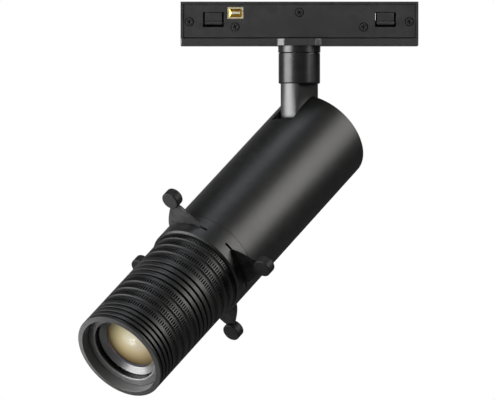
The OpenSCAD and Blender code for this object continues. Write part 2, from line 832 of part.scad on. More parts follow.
module condenser_lens() {
    rim = reflector_front + 2 + condenser_edge;
    color("#cfe3ea") lamp_frame() intersection() {
        rod(reflector_front + 2, rim + sag(condenser_curve, condenser_r), condenser_r);
        translate([rim + sag(condenser_curve, condenser_r) - condenser_curve, 0, 0])
            sphere(r = condenser_curve);
    }
}

// ---- Shutter section ----

module shutter_housing()
    color("#29292b") lamp_frame() difference() {
        turned([
            [tube_l - spigot_l, cavity_r],
            [tube_l - spigot_l, inside_r],
            [housing_x, inside_r],
            [housing_x, tube_r],
            [housing_front - housing_bevel, tube_r],
            [housing_front, tube_r - housing_bevel],
            [housing_front, lens_tube_r + fit],
            [front_wall_x, lens_tube_r + fit],
            [front_wall_x, cavity_r]]);
        for (turn = [0:90:270]) rotate([turn, 0, 0]) translate([slot_x - slot_t / 2, 0, 0])
            rotate([0, 90, 0]) rotate([0, 0, 180 - slot_half_angle])
                rotate_extrude(angle = 2 * slot_half_angle)
                    translate([cavity_r - overshoot, 0]) square([tube_wall + 3, slot_t]);
        gate_corners() rod(front_wall_x - overshoot, housing_front - 1, gate_screw_r);
    }

// The four corners between the shutters
module gate_corners()
    for (turn = [45:90:315]) rotate([turn, 0, 0]) translate([0, 0, gate_screw_ring]) children();

// Gate plate behind the blades, with four spacer bosses
module gate_plate()
    color("#59595c") lamp_frame() difference() {
        union() {
            rod(slot_x - gate_gap / 2 - gate_t, slot_x - gate_gap / 2, plate_r);
            gate_corners() rod(slot_x - gate_gap / 2 - gate_t, flange_x, gate_boss_r);
        }
        rod(slot_x - 5, slot_x, gate_r);
        gate_corners() rod(slot_x - 5, flange_x + overshoot, gate_screw_r + slide);
    }

module gate_screws()
    color("#9a9b9d") lamp_frame() gate_corners() {
        head_x = slot_x - gate_gap / 2 - gate_t;
        rod(head_x - gate_head_t, head_x, gate_head_r);
        rod(head_x - 0.5, housing_front - 1.4, gate_screw_r - thread);
    }

// Half the width of a blade outside the housing, from its root to its neck
function blade_w(share) =
    blade_neck + (blade_half_w - blade_neck) * (1 - pow(share, 1.35));

// Blade of the upper shutter, with the knob's seat at its end
module blade(layer) {
    root = tube_r - 1.5;
    neck = knob_ring - knob_d / 2 + 0.3;
    steps = 8;
    side = [for (i = [0:steps]) [blade_w(i / steps), root + (neck - root) * i / steps]];
    translate([slot_x + layer * (blade_t + 0.1) / 2 - blade_t / 2, 0, 0])
        rotate([90, 0, 90]) linear_extrude(blade_t) polygon(concat(
            [[blade_half_w, blade_inner]],
            side,
            [[blade_seat, neck + 0.2], [blade_seat, knob_ring + 2],
                [-blade_seat, knob_ring + 2], [-blade_seat, neck + 0.2]],
            [for (i = [steps:-1:0]) [-side[i][0], side[i][1]]],
            [[-blade_half_w, blade_inner]]));
}

// Round knob with a slot for the blade's end
module knob(layer)
    translate([slot_x + layer * (blade_t + 0.1) / 2, 0, 0]) difference() {
        translate([0, 0, knob_ring]) turned([
            [-knob_l / 2, 0],
            [-knob_l / 2, knob_d / 2 - knob_edge],
            [-knob_l / 2 + knob_edge, knob_d / 2],
            [knob_l / 2 - knob_edge, knob_d / 2],
            [knob_l / 2, knob_d / 2 - knob_edge],
            [knob_l / 2, 0]]);
        block(-blade_t / 2 - thread, blade_t / 2 + thread, -blade_seat - 0.6, blade_seat + 0.6,
            knob_ring - knob_d, knob_ring + 2 + thread);
    }

module shutter_top()
    color("#232325") lamp_frame() blade(-1);

module shutter_bottom()
    color("#232325") lamp_frame() rotate([180, 0, 0]) blade(-1);

module shutter_left()
    color("#232325") lamp_frame() rotate([-90, 0, 0]) blade(1);

module shutter_right()
    color("#232325") lamp_frame() rotate([90, 0, 0]) blade(1);

module knob_top()
    color("#1b1b1d") lamp_frame() knob(-1);

module knob_bottom()
    color("#1b1b1d") lamp_frame() rotate([180, 0, 0]) knob(-1);

module knob_left()
    color("#1b1b1d") lamp_frame() rotate([-90, 0, 0]) knob(1);

module knob_right()
    color("#1b1b1d") lamp_frame() rotate([90, 0, 0]) knob(1);

// ---- Lens barrel ----

module lens_tube()
    color("#39393b") lamp_frame() difference() {
        turned([
            [flange_x, lens_bore_r],
            [flange_x, plate_r],
            [flange_x + flange_t, plate_r],
            [flange_x + flange_t, lens_tube_r],
            [lens_tube_front, lens_tube_r],
            [lens_tube_front, lens_bore_r]]);
        gate_corners() rod(flange_x - overshoot, flange_x + flange_t + overshoot,
            gate_screw_r + slide);
        ring(clip_x - seam, clip_x + clip_t + seam, lens_tube_r + overshoot, clip_groove_r);
        // Slot for the zoom pin below, and for the focus key above
        block(zoom_pin_x - zoom_pin_r - 1, zoom_pin_x + zoom_travel + zoom_pin_r + 1,
            -zoom_pin_r - slide, zoom_pin_r + slide, -tube_r, -lens_bore_r / 2);
        block(focus_key_x - focus_key_r - 1, front,
            -focus_key_r - slide, focus_key_r + slide, lens_bore_r / 2, tube_r);
    }

module zoom_clip()
    color("#9a9b9d") lamp_frame() ring(clip_x, clip_x + clip_t, clip_r, clip_groove_r + thread);

// Turned groove and rounded hollow of the barrel, at a place on the beam axis
module barrel_groove(x)
    ring(x - groove_w / 2, x + groove_w / 2, barrel_r + overshoot, barrel_r - groove_depth);

module barrel_hollow(x) {
    curve = (hollow_w * hollow_w / 4 + hollow_depth * hollow_depth) / (2 * hollow_depth);
    rotate([0, 90, 0]) rotate_extrude()
        translate([barrel_r - hollow_depth + curve, x]) circle(r = curve, $fn = small_fn);
}

// The outer pattern of one ring: four grooves, then three hollows between four bands
module barrel_pattern(first_groove, groove_pitch, land) {
    last_groove = first_groove - 3 * groove_pitch;
    first_hollow = last_groove - groove_w / 2 - land - band_pitch + 0.25;
    for (i = [0:3]) barrel_groove(first_groove - i * groove_pitch);
    for (i = [0:2]) barrel_hollow(first_hollow - i * band_pitch);
}

module zoom_ring()
    color("#222224") lamp_frame() difference() {
        turned([
            [zoom_x, lens_tube_r + fit],
            [zoom_x, barrel_r - 0.6],
            [zoom_x + 0.6, barrel_r],
            [zoom_front, barrel_r],
            [zoom_front, clip_r + slide],
            [clip_x - seam, clip_r + slide],
            [clip_x - seam, lens_tube_r + fit]]);
        barrel_pattern(zoom_front - groove_w / 2 + 0.2, zoom_groove_pitch, zoom_band_land);
        // Spiral cam for the zoom pin
        for (i = [0:cam_steps])
            translate([zoom_pin_x + zoom_travel * i / cam_steps, 0, 0])
                rotate([180 - zoom_turn * i / cam_steps, 0, 0])
                    cylinder(r = zoom_pin_r + 0.35, h = lens_tube_r + cam_depth, $fn = small_fn);
    }

module zoom_carriage()
    color("#59595c") lamp_frame() {
        difference() {
            rod(zoom_carriage_x, zoom_carriage_x + zoom_carriage_l, carriage_r);
            rod(zoom_carriage_x - overshoot, zoom_carriage_x + zoom_carriage_l + overshoot,
                zoom_lens_r - 1.5);
            rod(zoom_carriage_x + 3, zoom_carriage_x + zoom_carriage_l + overshoot,
                zoom_lens_r + thread);
        }
        translate([zoom_pin_x, 0, 0]) rotate([180, 0, 0]) translate([0, 0, carriage_r - 0.5])
            cylinder(r = zoom_pin_r, h = lens_tube_r + cam_depth - 0.4 - carriage_r, $fn = small_fn);
    }

module zoom_lens() {
    rim = zoom_carriage_x + 3 + 2.5;
    color("#cfe3ea") lamp_frame() intersection() {
        rod(zoom_carriage_x + 3, rim + sag(zoom_lens_curve, zoom_lens_r), zoom_lens_r);
        translate([rim + sag(zoom_lens_curve, zoom_lens_r) - zoom_lens_curve, 0, 0])
            sphere(r = zoom_lens_curve);
    }
}

module focus_carriage()
    color("#59595c") lamp_frame() {
        turned([
            [focus_carriage_x, front_lens_r + 0.6],
            [focus_carriage_x, carriage_r],
            [shoulder_x + shoulder_t + seam, carriage_r],
            [shoulder_x + shoulder_t + seam, lens_tube_r - 0.4],
            [flange_front, lens_tube_r - 0.4],
            [flange_front, cell_r],
            [cell_front - seam, cell_r],
            [cell_front - seam, front_lens_r + thread],
            [lens_seat_x, front_lens_r + thread],
            [lens_seat_x, front_lens_r - 1.4],
            [lens_seat_x - 2, front_lens_r - 1.4],
            [lens_seat_x - 2, front_lens_r + 0.6]]);
        translate([focus_key_x, 0, carriage_r - 0.5])
            cylinder(r = focus_key_r, h = lens_tube_r - carriage_r, $fn = small_fn);
    }

module front_lens() {
    vertex = retainer_x + sag(front_lens_curve, front_lens_r);
    color("#d9c991") lamp_frame() intersection() {
        rod(lens_seat_x, vertex, front_lens_r);
        translate([vertex - front_lens_curve, 0, 0]) sphere(r = front_lens_curve);
    }
}

// Turned ring that holds the front lens, with a cone down to its lip
module lens_retainer()
    color("#6a6a6c") lamp_frame() turned([
        [retainer_x + 0.2, front_lens_r],
        [cell_front, front_lens_r],
        [cell_front, cell_r],
        [retainer_front, cell_r],
        [lip_x + 0.6, front_clear_r + 0.3],
        [lip_x + 0.5, front_clear_r],
        [lip_x, front_clear_r]]);

module focus_ring()
    color("#222224") lamp_frame() difference() {
        turned([
            [focus_x, lens_tube_r + fit],
            [focus_x, barrel_r],
            [front - 0.3, barrel_r],
            [front, barrel_r - 0.3],
            [front, mouth_r],
            [front - mouth_depth, mouth_r],
            [front - mouth_depth, baffle_seat_r],
            [baffle_x, baffle_seat_r],
            [baffle_x, lens_tube_r - 0.1],
            [flange_front + seam + clip_t + seam, lens_tube_r - 0.1],
            [flange_front + seam + clip_t + seam, lens_tube_r + 0.7],
            [flange_front + seam - seam / 2, lens_tube_r + 0.7],
            [flange_front + seam - seam / 2, lens_tube_r - 0.1],
            [shoulder_x + shoulder_t, lens_tube_r - 0.1],
            [shoulder_x + shoulder_t, carriage_r + slide],
            [shoulder_x, carriage_r + slide],
            [shoulder_x, lens_tube_r + fit]]);
        barrel_pattern(front - front_land, focus_groove_pitch, focus_band_land);
    }

module focus_clip()
    color("#9a9b9d") lamp_frame()
        ring(flange_front + seam, flange_front + seam + clip_t, lens_tube_r + 0.7 - thread, cell_r + 0.8);

module front_baffle()
    color("#4a4a4c") lamp_frame() turned([
        [baffle_x, baffle_r + 0.3],
        [baffle_x, baffle_seat_r - thread],
        [baffle_x + baffle_t, baffle_seat_r - thread],
        [baffle_x + baffle_t, baffle_r + 0.25],
        [baffle_x + baffle_t - 0.25, baffle_r]]);

housing();
front_cover();
back_cover();
base_plate();
base_screws();
cover_screws();
magnets();
contact_carrier();
contact_leaf();
contact_front();
contact_back();
latch_front_left();
latch_front_right();
latch_back_left();
latch_back_right();
driver_board();
driver_parts();
pan_collar();
stem();
knuckle();
spindle();
pan_nut();
pan_washer();
stem_wires();
tube();
rear_cap();
lamp_screws();
pivot_bracket();
tilt_screw();
tilt_washers();
heat_sink();
led_board();
led_chip();
led_holder();
reflector();
condenser_lens();
condenser_ring();
shutter_housing();
gate_plate();
gate_screws();
lens_tube();
zoom_clip();
lamp_wires();
shutter_top();
shutter_bottom();
shutter_left();
shutter_right();
knob_top();
knob_bottom();
knob_left();
knob_right();
zoom_ring();
zoom_carriage();
zoom_lens();
focus_carriage();
front_lens();
lens_retainer();
focus_ring();
focus_clip();
front_baffle();
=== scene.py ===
"""Looks of a framing projector spotlight on a magnetic track adapter.

Every piece is built in millimetres in the place of the part it stands for: the adapter's
own frame, or the lamp's frame, where +X runs along the beam from the rear of the tube.
"""
import json
import math

import bmesh
import bpy
from mathutils import Matrix, Vector


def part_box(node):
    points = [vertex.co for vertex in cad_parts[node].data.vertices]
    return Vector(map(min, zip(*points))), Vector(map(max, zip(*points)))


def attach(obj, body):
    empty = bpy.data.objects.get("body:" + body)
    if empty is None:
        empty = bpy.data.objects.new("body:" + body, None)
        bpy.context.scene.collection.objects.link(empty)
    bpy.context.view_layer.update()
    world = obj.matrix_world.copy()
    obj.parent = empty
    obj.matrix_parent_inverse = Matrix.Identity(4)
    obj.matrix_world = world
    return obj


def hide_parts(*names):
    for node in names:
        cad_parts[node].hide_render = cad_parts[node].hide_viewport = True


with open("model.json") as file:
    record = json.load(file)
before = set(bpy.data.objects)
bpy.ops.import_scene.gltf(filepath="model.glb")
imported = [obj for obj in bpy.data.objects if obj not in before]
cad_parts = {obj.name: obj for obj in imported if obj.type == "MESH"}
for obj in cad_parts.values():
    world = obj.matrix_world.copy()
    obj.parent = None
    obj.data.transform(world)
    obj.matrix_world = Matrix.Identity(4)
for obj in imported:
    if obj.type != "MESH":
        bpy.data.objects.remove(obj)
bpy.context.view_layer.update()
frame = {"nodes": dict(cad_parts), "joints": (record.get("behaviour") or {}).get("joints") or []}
scene = bpy.context.scene
MM = 0.001


def put(name, data):
    """New object in the scene."""
    item = bpy.data.objects.new(name, data)
    scene.collection.objects.link(item)
    return item


# ---- Camera, first ----

camera_data = bpy.data.cameras.new("camera")
camera_data.lens = 422
camera_data.sensor_width = 36
camera_data.clip_end = 50
camera = put("camera", camera_data)
# The camera looks level along +Y
camera.location = (-0.0284, -3.18, -0.1084)
camera.rotation_euler = (math.radians(90), 0, 0)
scene.camera = camera

# ---- Frames of the adapter and the lamp ----

joints = {joint["name"]: joint for joint in frame["joints"]}
beam = Vector(joints["focus_slide"]["axis"]).normalized()
tilt_axis = Vector(joints["lamp_tilt"]["axis"]).normalized()
lamp_up = beam.cross(tilt_axis)


def place_of(origin, x_axis, y_axis, z_axis):
    """Matrix of a frame with its origin and its three axes."""
    columns = Matrix((x_axis, y_axis, z_axis)).transposed().to_4x4()
    return Matrix.Translation(origin) @ columns


def extent(node, axis):
    """Lowest and highest place of a CAD node along an axis, in metres."""
    places = [axis.dot(vertex.co) for vertex in frame["nodes"][node].data.vertices]
    return min(places), max(places)


def middle(node, axis):
    """Place half way along a CAD node's extent, in metres."""
    return sum(extent(node, axis)) / 2


# The beam axis runs through the middle of the rear ring, and x = 0 is the tube's rear edge
lamp_origin = (beam * extent("tube", beam)[0] + tilt_axis * middle("zoom_clip", tilt_axis)
               + lamp_up * middle("zoom_clip", lamp_up))
LAMP = place_of(lamp_origin, beam, tilt_axis, lamp_up)
ADAPTER = Matrix.Identity(4)
# The adapter's axes: along it, to its back, and up
ACROSS, INTO, UP = Vector((1, 0, 0)), Vector((0, 1, 0)), Vector((0, 0, 1))


def along(node):
    """Rear and front of a lamp node on the beam axis, in millimetres."""
    low, high = extent(node, beam)
    start = beam.dot(lamp_origin)
    return (low - start) / MM, (high - start) / MM


def radius(node):
    """Largest radius of a turned lamp node, in millimetres."""
    low, high = extent(node, tilt_axis)
    return (high - low) / 2 / MM


def corners_of(node):
    """Low and high corners of a CAD node, in millimetres."""
    return [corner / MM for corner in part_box(node)]


def outward(node):
    """A sprung node's corners, its side of the adapter, and how far out it starts and ends."""
    low, high = corners_of(node)
    return (low, high, 1 if high.y > 0 else -1, *sorted((abs(low.y), abs(high.y))))


# ---- Mesh tools ----

def mesh_object(name, shape, place):
    """Turns a bmesh in millimetres into an object in its place."""
    bmesh.ops.recalc_face_normals(shape, faces=shape.faces)
    mesh = bpy.data.meshes.new(name)
    shape.to_mesh(mesh)
    shape.free()
    mesh.transform(Matrix.Scale(MM, 4))
    piece = put(name, mesh)
    piece.matrix_world = place
    return piece


def smooth(mesh, sharp):
    """Shades a mesh smoothly, but for edges over an angle in degrees."""
    mesh.shade_smooth()
    mesh.set_sharp_from_angle(angle=math.radians(sharp))


def finish_mesh(name, shape, place, material, sharp=32):
    """Turns a bmesh in millimetres into a shaded piece in its place."""
    piece = mesh_object(name, shape, place)
    smooth(piece.data, sharp)
    piece.data.materials.append(material)
    return piece


def stand_for(piece, body, slot, *nodes):
    """The piece moves with a body and replaces CAD nodes; slot is not used."""
    # Keeps long and flat faces evenly shaded beside their rounded edges
    piece.modifiers.new("weigh", "WEIGHTED_NORMAL").keep_sharp = True
    settle(piece)
    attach(piece, body)
    if nodes:
        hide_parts(*nodes)


def rounded(corners, reach, steps=3):
    """Closed outline with each corner cut into a small curve that starts at reach from it."""
    count = len(corners)
    outline = []
    for i, corner in enumerate(corners):
        here = Vector(corner)
        before = Vector(corners[i - 1])
        after = Vector(corners[(i + 1) % count])
        to_before = before - here
        to_after = after - here
        cut = min(reach, to_before.length * 0.45, to_after.length * 0.45)
        start = here + to_before.normalized() * cut
        end = here + to_after.normalized() * cut
        for step in range(steps + 1):
            t = step / steps
            point = start * (1 - t) ** 2 + here * 2 * t * (1 - t) + end * t * t
            outline.append(tuple(point))
    return outline


# A radius below this many millimetres is a point on the axis
ON_AXIS = 1e-4


def ring_faces(shape, first, second):
    """Quads or triangles between two rings of vertices, where a ring may be one point."""
    count = max(len(first), len(second))
    for i in range(count):
        j = (i + 1) % count
        corners = [first[i % len(first)], first[j % len(first)],
                   second[j % len(second)], second[i % len(second)]]
        unique = []
        for corner in corners:
            if corner not in unique:
                unique.append(corner)
        if len(unique) > 2:
            shape.faces.new(unique)


def turn(outline, segments=160, spread=None):
    """Solid turned about X from a closed outline of (x, radius) or (x, radius, tooth) points.

    spread gives (angle, valley) pairs all round; a point's tooth depth times the valley
    is taken off its radius there.
    """
    shape = bmesh.new()
    around = spread or [(2 * math.pi * i / segments, 0) for i in range(segments)]
    rings = []
    for point in outline:
        x, r = point[0], point[1]
        tooth = point[2] if len(point) > 2 else 0
        if r < ON_AXIS:
            rings.append([shape.verts.new((x, 0, 0))])
            continue
        ring = []
        for angle, valley in around:
            here = r - tooth * valley
            ring.append(shape.verts.new((x, here * math.cos(angle), here * math.sin(angle))))
        rings.append(ring)
    closed = outline[0][1] > ON_AXIS and outline[-1][1] > ON_AXIS
    for i in range(len(rings) - (0 if closed else 1)):
        ring_faces(shape, rings[i], rings[(i + 1) % len(rings)])
    return shape


def move(shape, matrix):
    """Moves or turns a whole bmesh."""
    bmesh.ops.transform(shape, matrix=matrix, verts=shape.verts)


def about_x(degrees):
    """Turn about X, in degrees."""
    return Matrix.Rotation(math.radians(degrees), 4, "X")


def extrude(outline, depth, at):
    """Plate from an outline in XY, from z = at to z = at + depth."""
    shape = bmesh.new()
    low = [shape.verts.new((x, y, at)) for x, y in outline]
    high = [shape.verts.new((x, y, at + depth)) for x, y in outline]
    shape.faces.new(low[::-1])
    shape.faces.new(high)
    ring_faces(shape, low, high)
    return shape


def loft(loops):
    """Solid through loops of points, closed at its two ends."""
    shape = bmesh.new()
    rings = [[shape.verts.new(point) for point in loop] for loop in loops]
    shape.faces.new(rings[0])
    shape.faces.new(rings[-1][::-1])
    for first, second in zip(rings, rings[1:]):
        ring_faces(shape, first, second)
    return shape


def box(low, high):
    """Block between two corners."""
    outline = [(low[0], low[1]), (high[0], low[1]), (high[0], high[1]), (low[0], high[1])]
    return extrude(outline, high[2] - low[2], low[2])


def carve(piece, *cutters):
    """Cuts shapes, drawn in the piece's own frame in millimetres, out of a piece."""
    for cutter in cutters:
        tool = mesh_object("cutter", cutter, piece.matrix_world)
        cut = piece.modifiers.new("cut", "BOOLEAN")
        cut.operation = "DIFFERENCE"
        cut.solver = "EXACT"
        cut.object = tool
        settle(piece)
        bpy.data.meshes.remove(tool.data)


def settle(piece):
    """Applies a piece's modifiers to its mesh."""
    bpy.context.view_layer.update()
    graph = bpy.context.evaluated_depsgraph_get()
    old = piece.data
    name = old.name
    mesh = bpy.data.meshes.new_from_object(piece.evaluated_get(graph))
    piece.modifiers.clear()
    piece.data = mesh
    bpy.data.meshes.remove(old)
    mesh.name = name


def soften(piece, width, angle=38, sharp=32):
    """Rounds a piece's edges over an angle in degrees by a width in millimetres."""
    shape = bmesh.new()
    shape.from_mesh(piece.data)
    bmesh.ops.remove_doubles(shape, verts=shape.verts, dist=2e-6)
    bmesh.ops.dissolve_limit(shape, angle_limit=math.radians(0.3), verts=shape.verts,
                             edges=shape.edges)
    bmesh.ops.recalc_face_normals(shape, faces=shape.faces)
    shape.to_mesh(piece.data)
    shape.free()
    bevel = piece.modifiers.new("bevel", "BEVEL")
    bevel.width = width * MM
    bevel.segments = 2
    bevel.limit_method = "ANGLE"
    bevel.angle_limit = math.radians(angle)
    bevel.use_clamp_overlap = True
    settle(piece)
    smooth(piece.data, sharp)
    return piece


def from_cad(node, name, width, material):
    """A softened copy of a CAD node whose shape is right but whose edges are bare."""
    piece = put(name, frame["nodes"][node].data.copy())
    piece.data.name = name
    piece.data.materials.clear()
    piece.data.materials.append(material)
    return soften(piece, width)


# ---- Surface effects, each a group of nodes with its own inputs and outputs ----

def feed(socket, value):
    """Gives one input its value, or links another node's output to it."""
    if isinstance(value, bpy.types.NodeSocket):
        socket.id_data.links.new(value, socket)
    else:
        socket.default_value = value


def set_inputs(node, **values):
    """Gives inputs their values, each a number, a colour or another node's output."""
    for name, value in values.items():
        feed(node.inputs[name.replace("_", " ")], value)
    return node


def new_node(tree, kind, **values):
    """Node of a kind, with its inputs set."""
    return set_inputs(tree.nodes.new("ShaderNode" + kind), **values)


def math_node(tree, operation, *values):
    """Result of a sum on one or two values, each a number or another node's output."""
    node = new_node(tree, "Math")
    node.operation = operation
    for socket, value in zip(node.inputs, values):
        feed(socket, value)
    return node.outputs[0]


def split_axes(tree, value):
    """X, Y and Z of a place or a direction."""
    return new_node(tree, "SeparateXYZ", Vector=value).outputs


def own_place(tree):
    """Coordinates of the piece itself, in metres."""
    return new_node(tree, "TexCoord").outputs["Object"]


def length_of(tree, across, up):
    """Length of the long side over two square sides."""
    squares = [math_node(tree, "POWER", side, 2.0) for side in (across, up)]
    return math_node(tree, "SQRT", math_node(tree, "ADD", *squares))


def remap(tree, value, low, high, to_low=0.0, to_high=1.0):
    """Clamped straight-line map of a varying value."""
    return new_node(tree, "MapRange", Value=value, From_Min=low, From_Max=high, To_Min=to_low,
                    To_Max=to_high).outputs["Result"]


def effect(name, inputs, outputs):
    """Empty node group with float sockets, its entry and its exit."""
    tree = bpy.data.node_groups.new(name, "ShaderNodeTree")
    for label, value in inputs.items():
        socket = tree.interface.new_socket(label, in_out="INPUT", socket_type="NodeSocketFloat")
        socket.default_value = value
    for label in outputs:
        tree.interface.new_socket(label, in_out="OUTPUT", socket_type="NodeSocketFloat")
    return tree, tree.nodes.new("NodeGroupInput"), tree.nodes.new("NodeGroupOutput")


def noise(tree, scale, detail=2.0, roughness=0.5):
    """Noise over the piece's own coordinates, with scale in cells per metre."""
    return new_node(tree, "TexNoise", Vector=own_place(tree), Scale=scale, Detail=detail,
                    Roughness=roughness).outputs["Fac"]


def make_grain():
    """Fine even grain of a blasted, cast or moulded surface, with a slow mottle."""
    tree, entry, leave = effect("fine grain", {"Grains per metre": 2500, "Mottle per metre": 60},
                                ("Height", "Mottle"))
    grain = noise(tree, entry.outputs["Grains per metre"], 2.0, 0.6)
    mottle = noise(tree, entry.outputs["Mottle per metre"], 4.0, 0.55)
    set_inputs(leave, Height=grain, Mottle=remap(tree, mottle, 0.32, 0.68))
    return tree


def make_turned_lines():
    """Fine rings left by the turning tool round the piece's own X axis, on faces and sides."""
    tree, entry, leave = effect("turned lines", {"Lines per metre": 2200}, ("Height",))
    x, y, z = split_axes(tree, own_place(tree))
    line = new_node(tree, "TexNoise", Detail=1.5, Scale=entry.outputs["Lines per metre"])
    line.noise_dimensions = "1D"
    set_inputs(line, W=math_node(tree, "ADD", x, length_of(tree, y, z)))
    set_inputs(leave, Height=line.outputs["Fac"])
    return tree


def make_edge_wear():
    """Mask of the outer edges, where handling has polished the finish."""
    tree, entry, leave = effect("edge wear", {"Reach": 0.5}, ("Mask",))
    edge = remap(tree, new_node(tree, "NewGeometry").outputs["Pointiness"], 0.51, 0.6)
    patch = remap(tree, noise(tree, 240.0, 3.0), 0.35, 0.62)
    set_inputs(leave, Mask=math_node(tree, "MULTIPLY", math_node(tree, "MULTIPLY", edge, patch),
                                     entry.outputs["Reach"]))
    return tree


def make_dust():
    """Mask of thin dust on the faces that look up."""
    tree, entry, leave = effect("dust", {"Amount": 0.2}, ("Mask",))
    facing = split_axes(tree, new_node(tree, "NewGeometry").outputs["Normal"])
    up = remap(tree, facing["Z"], 0.25, 1.0)
    specks = remap(tree, noise(tree, 900.0, 4.0, 0.7), 0.42, 0.75)
    set_inputs(leave, Mask=math_node(tree, "MULTIPLY", math_node(tree, "MULTIPLY", up, specks),
                                     entry.outputs["Amount"]))
    return tree


GRAIN, LINES, WEAR, DUST = make_grain(), make_turned_lines(), make_edge_wear(), make_dust()


def use(tree, group, **values):
    """Places a group in a material and sets its inputs."""
    node = tree.nodes.new("ShaderNodeGroup")
    node.node_tree = group
    return set_inputs(node, **values)


def tone(*parts):
    """Linear colour of a screen tone from 0 to 255: one grey, or red, green and blue."""
    line = [(part / 255) / 12.92 if part < 11 else ((part / 255 + 0.055) / 1.055) ** 2.4
            for part in parts]
    return (*(line * 3)[:3], 1.0)


# Places of the colour sockets on a Mix node
MIX_FIRST, MIX_SECOND, MIX_RESULT = 6, 7, 2


def blend_colour(tree, mask, first, second, way="MIX"):
    """Colour that goes from first to second with a mask."""
    node = new_node(tree, "Mix")
    node.data_type = "RGBA"
    node.blend_type = way
    feed(node.inputs["Factor"], mask)
    feed(node.inputs[MIX_FIRST], first)
    feed(node.inputs[MIX_SECOND], second)
    return node.outputs[MIX_RESULT]


def raised(tree, height, depth, **below):
    """Normal of a surface with a height of depth millimetres laid on it."""
    return new_node(tree, "Bump", Height=height, Distance=depth * MM, Strength=1.0,
                    **below).outputs["Normal"]


def new_material(name):
    """Material with its tree of nodes and its shader."""
    material = bpy.data.materials.new(name)
    material.use_nodes = True
    return material, material.node_tree, material.node_tree.nodes["Principled BSDF"]


def finish(name, dark, light, rough, metallic=0.0, coat=0.0, specular=0.5, grains=2500.0,
           depth=0.004, mottle=60.0, lines=0.0, line_depth=0.0, wear=0.0, worn=150, dust=0.0):
    """Finish whose colour and roughness drift between two values over the surface.

    dark, light and worn are screen tones: a grey, or red, green and blue. depth and line_depth
    are the heights of the grain and of the turned lines in millimetres.
    """
    dark, light, worn = [tone(*shade) if isinstance(shade, tuple) else tone(shade)
                         for shade in (dark, light, worn)]
    material, tree, shader = new_material(name)
    grain = use(tree, GRAIN, Grains_per_metre=grains, Mottle_per_metre=mottle).outputs
    colour = blend_colour(tree, grain["Mottle"], dark, light)
    roughness = remap(tree, grain["Mottle"], 0.0, 1.0, *rough)
    normal = raised(tree, grain["Height"], depth)
    if lines:
        turned = use(tree, LINES, Lines_per_metre=lines).outputs["Height"]
        normal = raised(tree, turned, line_depth, Normal=normal)
    if wear:
        mask = use(tree, WEAR, Reach=wear).outputs["Mask"]
        colour = blend_colour(tree, mask, colour, worn)
    if dust:
        mask = use(tree, DUST, Amount=dust).outputs["Mask"]
        colour = blend_colour(tree, mask, colour, tone(150, 147, 140))
        roughness = math_node(tree, "MAXIMUM", roughness, mask)
    set_inputs(shader, Base_Color=colour, Roughness=roughness, Normal=normal, Metallic=metallic,
               Specular_IOR_Level=specular, Coat_Weight=coat, Coat_Roughness=0.12)
    return material


adapter_black = finish(
    "adapter black", 56, 59, (0.46, 0.5), grains=5200.0, depth=0.01, wear=0.12, worn=100,
    dust=0.04)
base_black = finish(
    "base black", 80, 83, (0.3, 0.34), metallic=0.4, grains=4200.0, depth=0.003, wear=0.1,
    worn=140, dust=0.03)
screw_black = finish(
    "screw black", 56, 60, (0.4, 0.46), metallic=0.2, grains=3500.0, wear=0.2, worn=130)
contact_gold = finish(
    "contact gold", (214, 158, 42), (228, 176, 60), (0.2, 0.26), metallic=1.0, grains=6000.0,
    depth=0.002, mottle=400.0, wear=0.3, worn=(244, 224, 176))
contact_tip = finish(
    "contact tip", (236, 228, 200), (246, 240, 220), (0.4, 0.5), metallic=0.2, grains=6000.0,
    depth=0.002, mottle=400.0)
# Near-black of the inner parts, also used as painted shade in the knurled slots
inner_black_and_slot_shade = finish("inner black and painted slot shade", 13, 15, (0.7, 0.8), specular=0.2, grains=3000.0)
carrier_cream = finish(
    "carrier cream", (226, 214, 178), (236, 226, 196), (0.4, 0.5), grains=3000.0, mottle=300.0)
magnet_nickel = finish(
    "magnet nickel", 160, 170, (0.2, 0.26), metallic=1.0, mottle=150.0, wear=0.3, worn=210)
board_green = finish(
    "board green", (10, 26, 16), (14, 34, 22), (0.3, 0.42), coat=0.4, mottle=220.0)
component_dark = finish("component dark", 36, (52, 46, 42), (0.4, 0.6), mottle=90.0)
swivel_black = finish(
    "swivel black", 60, 63, (0.3, 0.33), metallic=0.75, grains=5000.0, depth=0.003, lines=2600.0,
    line_depth=0.001, wear=0.15, worn=150, dust=0.03)
knuckle_black = finish(
    "knuckle black", 90, 93, (0.39, 0.42), metallic=0.85, grains=4600.0, depth=0.008, wear=0.15,
    worn=165, dust=0.03)
steel = finish(
    "steel", 150, 176, (0.2, 0.32), metallic=1.0, mottle=200.0, lines=3000.0, line_depth=0.002)
wire_red = finish("wire red", (136, 22, 18), (160, 32, 26), (0.35, 0.45), mottle=300.0)
tube_black = finish(
    "tube black", 18, 20, (0.41, 0.44), grains=5200.0, depth=0.01, mottle=30.0, wear=0.12,
    worn=110, dust=0.03)
bracket_grey = finish(
    "bracket grey", 62, 74, (0.4, 0.5), metallic=0.6, grains=2500.0, depth=0.01, wear=0.4,
    worn=160)
sink_aluminium = finish(
    "sink aluminium", 150, 170, (0.3, 0.42), metallic=0.9, lines=1800.0, line_depth=0.004,
    wear=0.3, worn=215)
led_white = finish("lamp board white", 214, 230, (0.4, 0.5), mottle=200.0)
led_phosphor = finish(
    "phosphor yellow", (222, 186, 70), (238, 208, 104), (0.4, 0.5), grains=8000.0, depth=0.006,
    mottle=500.0)
reflector_bright = finish(
    "reflector bright", 205, 222, (0.12, 0.2), metallic=1.0, lines=2000.0, line_depth=0.002)
blade_black = finish(
    "blade black", 24, 26, (0.5, 0.55), specular=0.4, grains=3000.0, depth=0.003, mottle=120.0,
    wear=0.3, worn=130)
knob_black = finish(
    "knob black", 22, 24, (0.55, 0.6), specular=0.4, grains=4200.0, depth=0.01, wear=0.1, worn=80,
    dust=0.03)
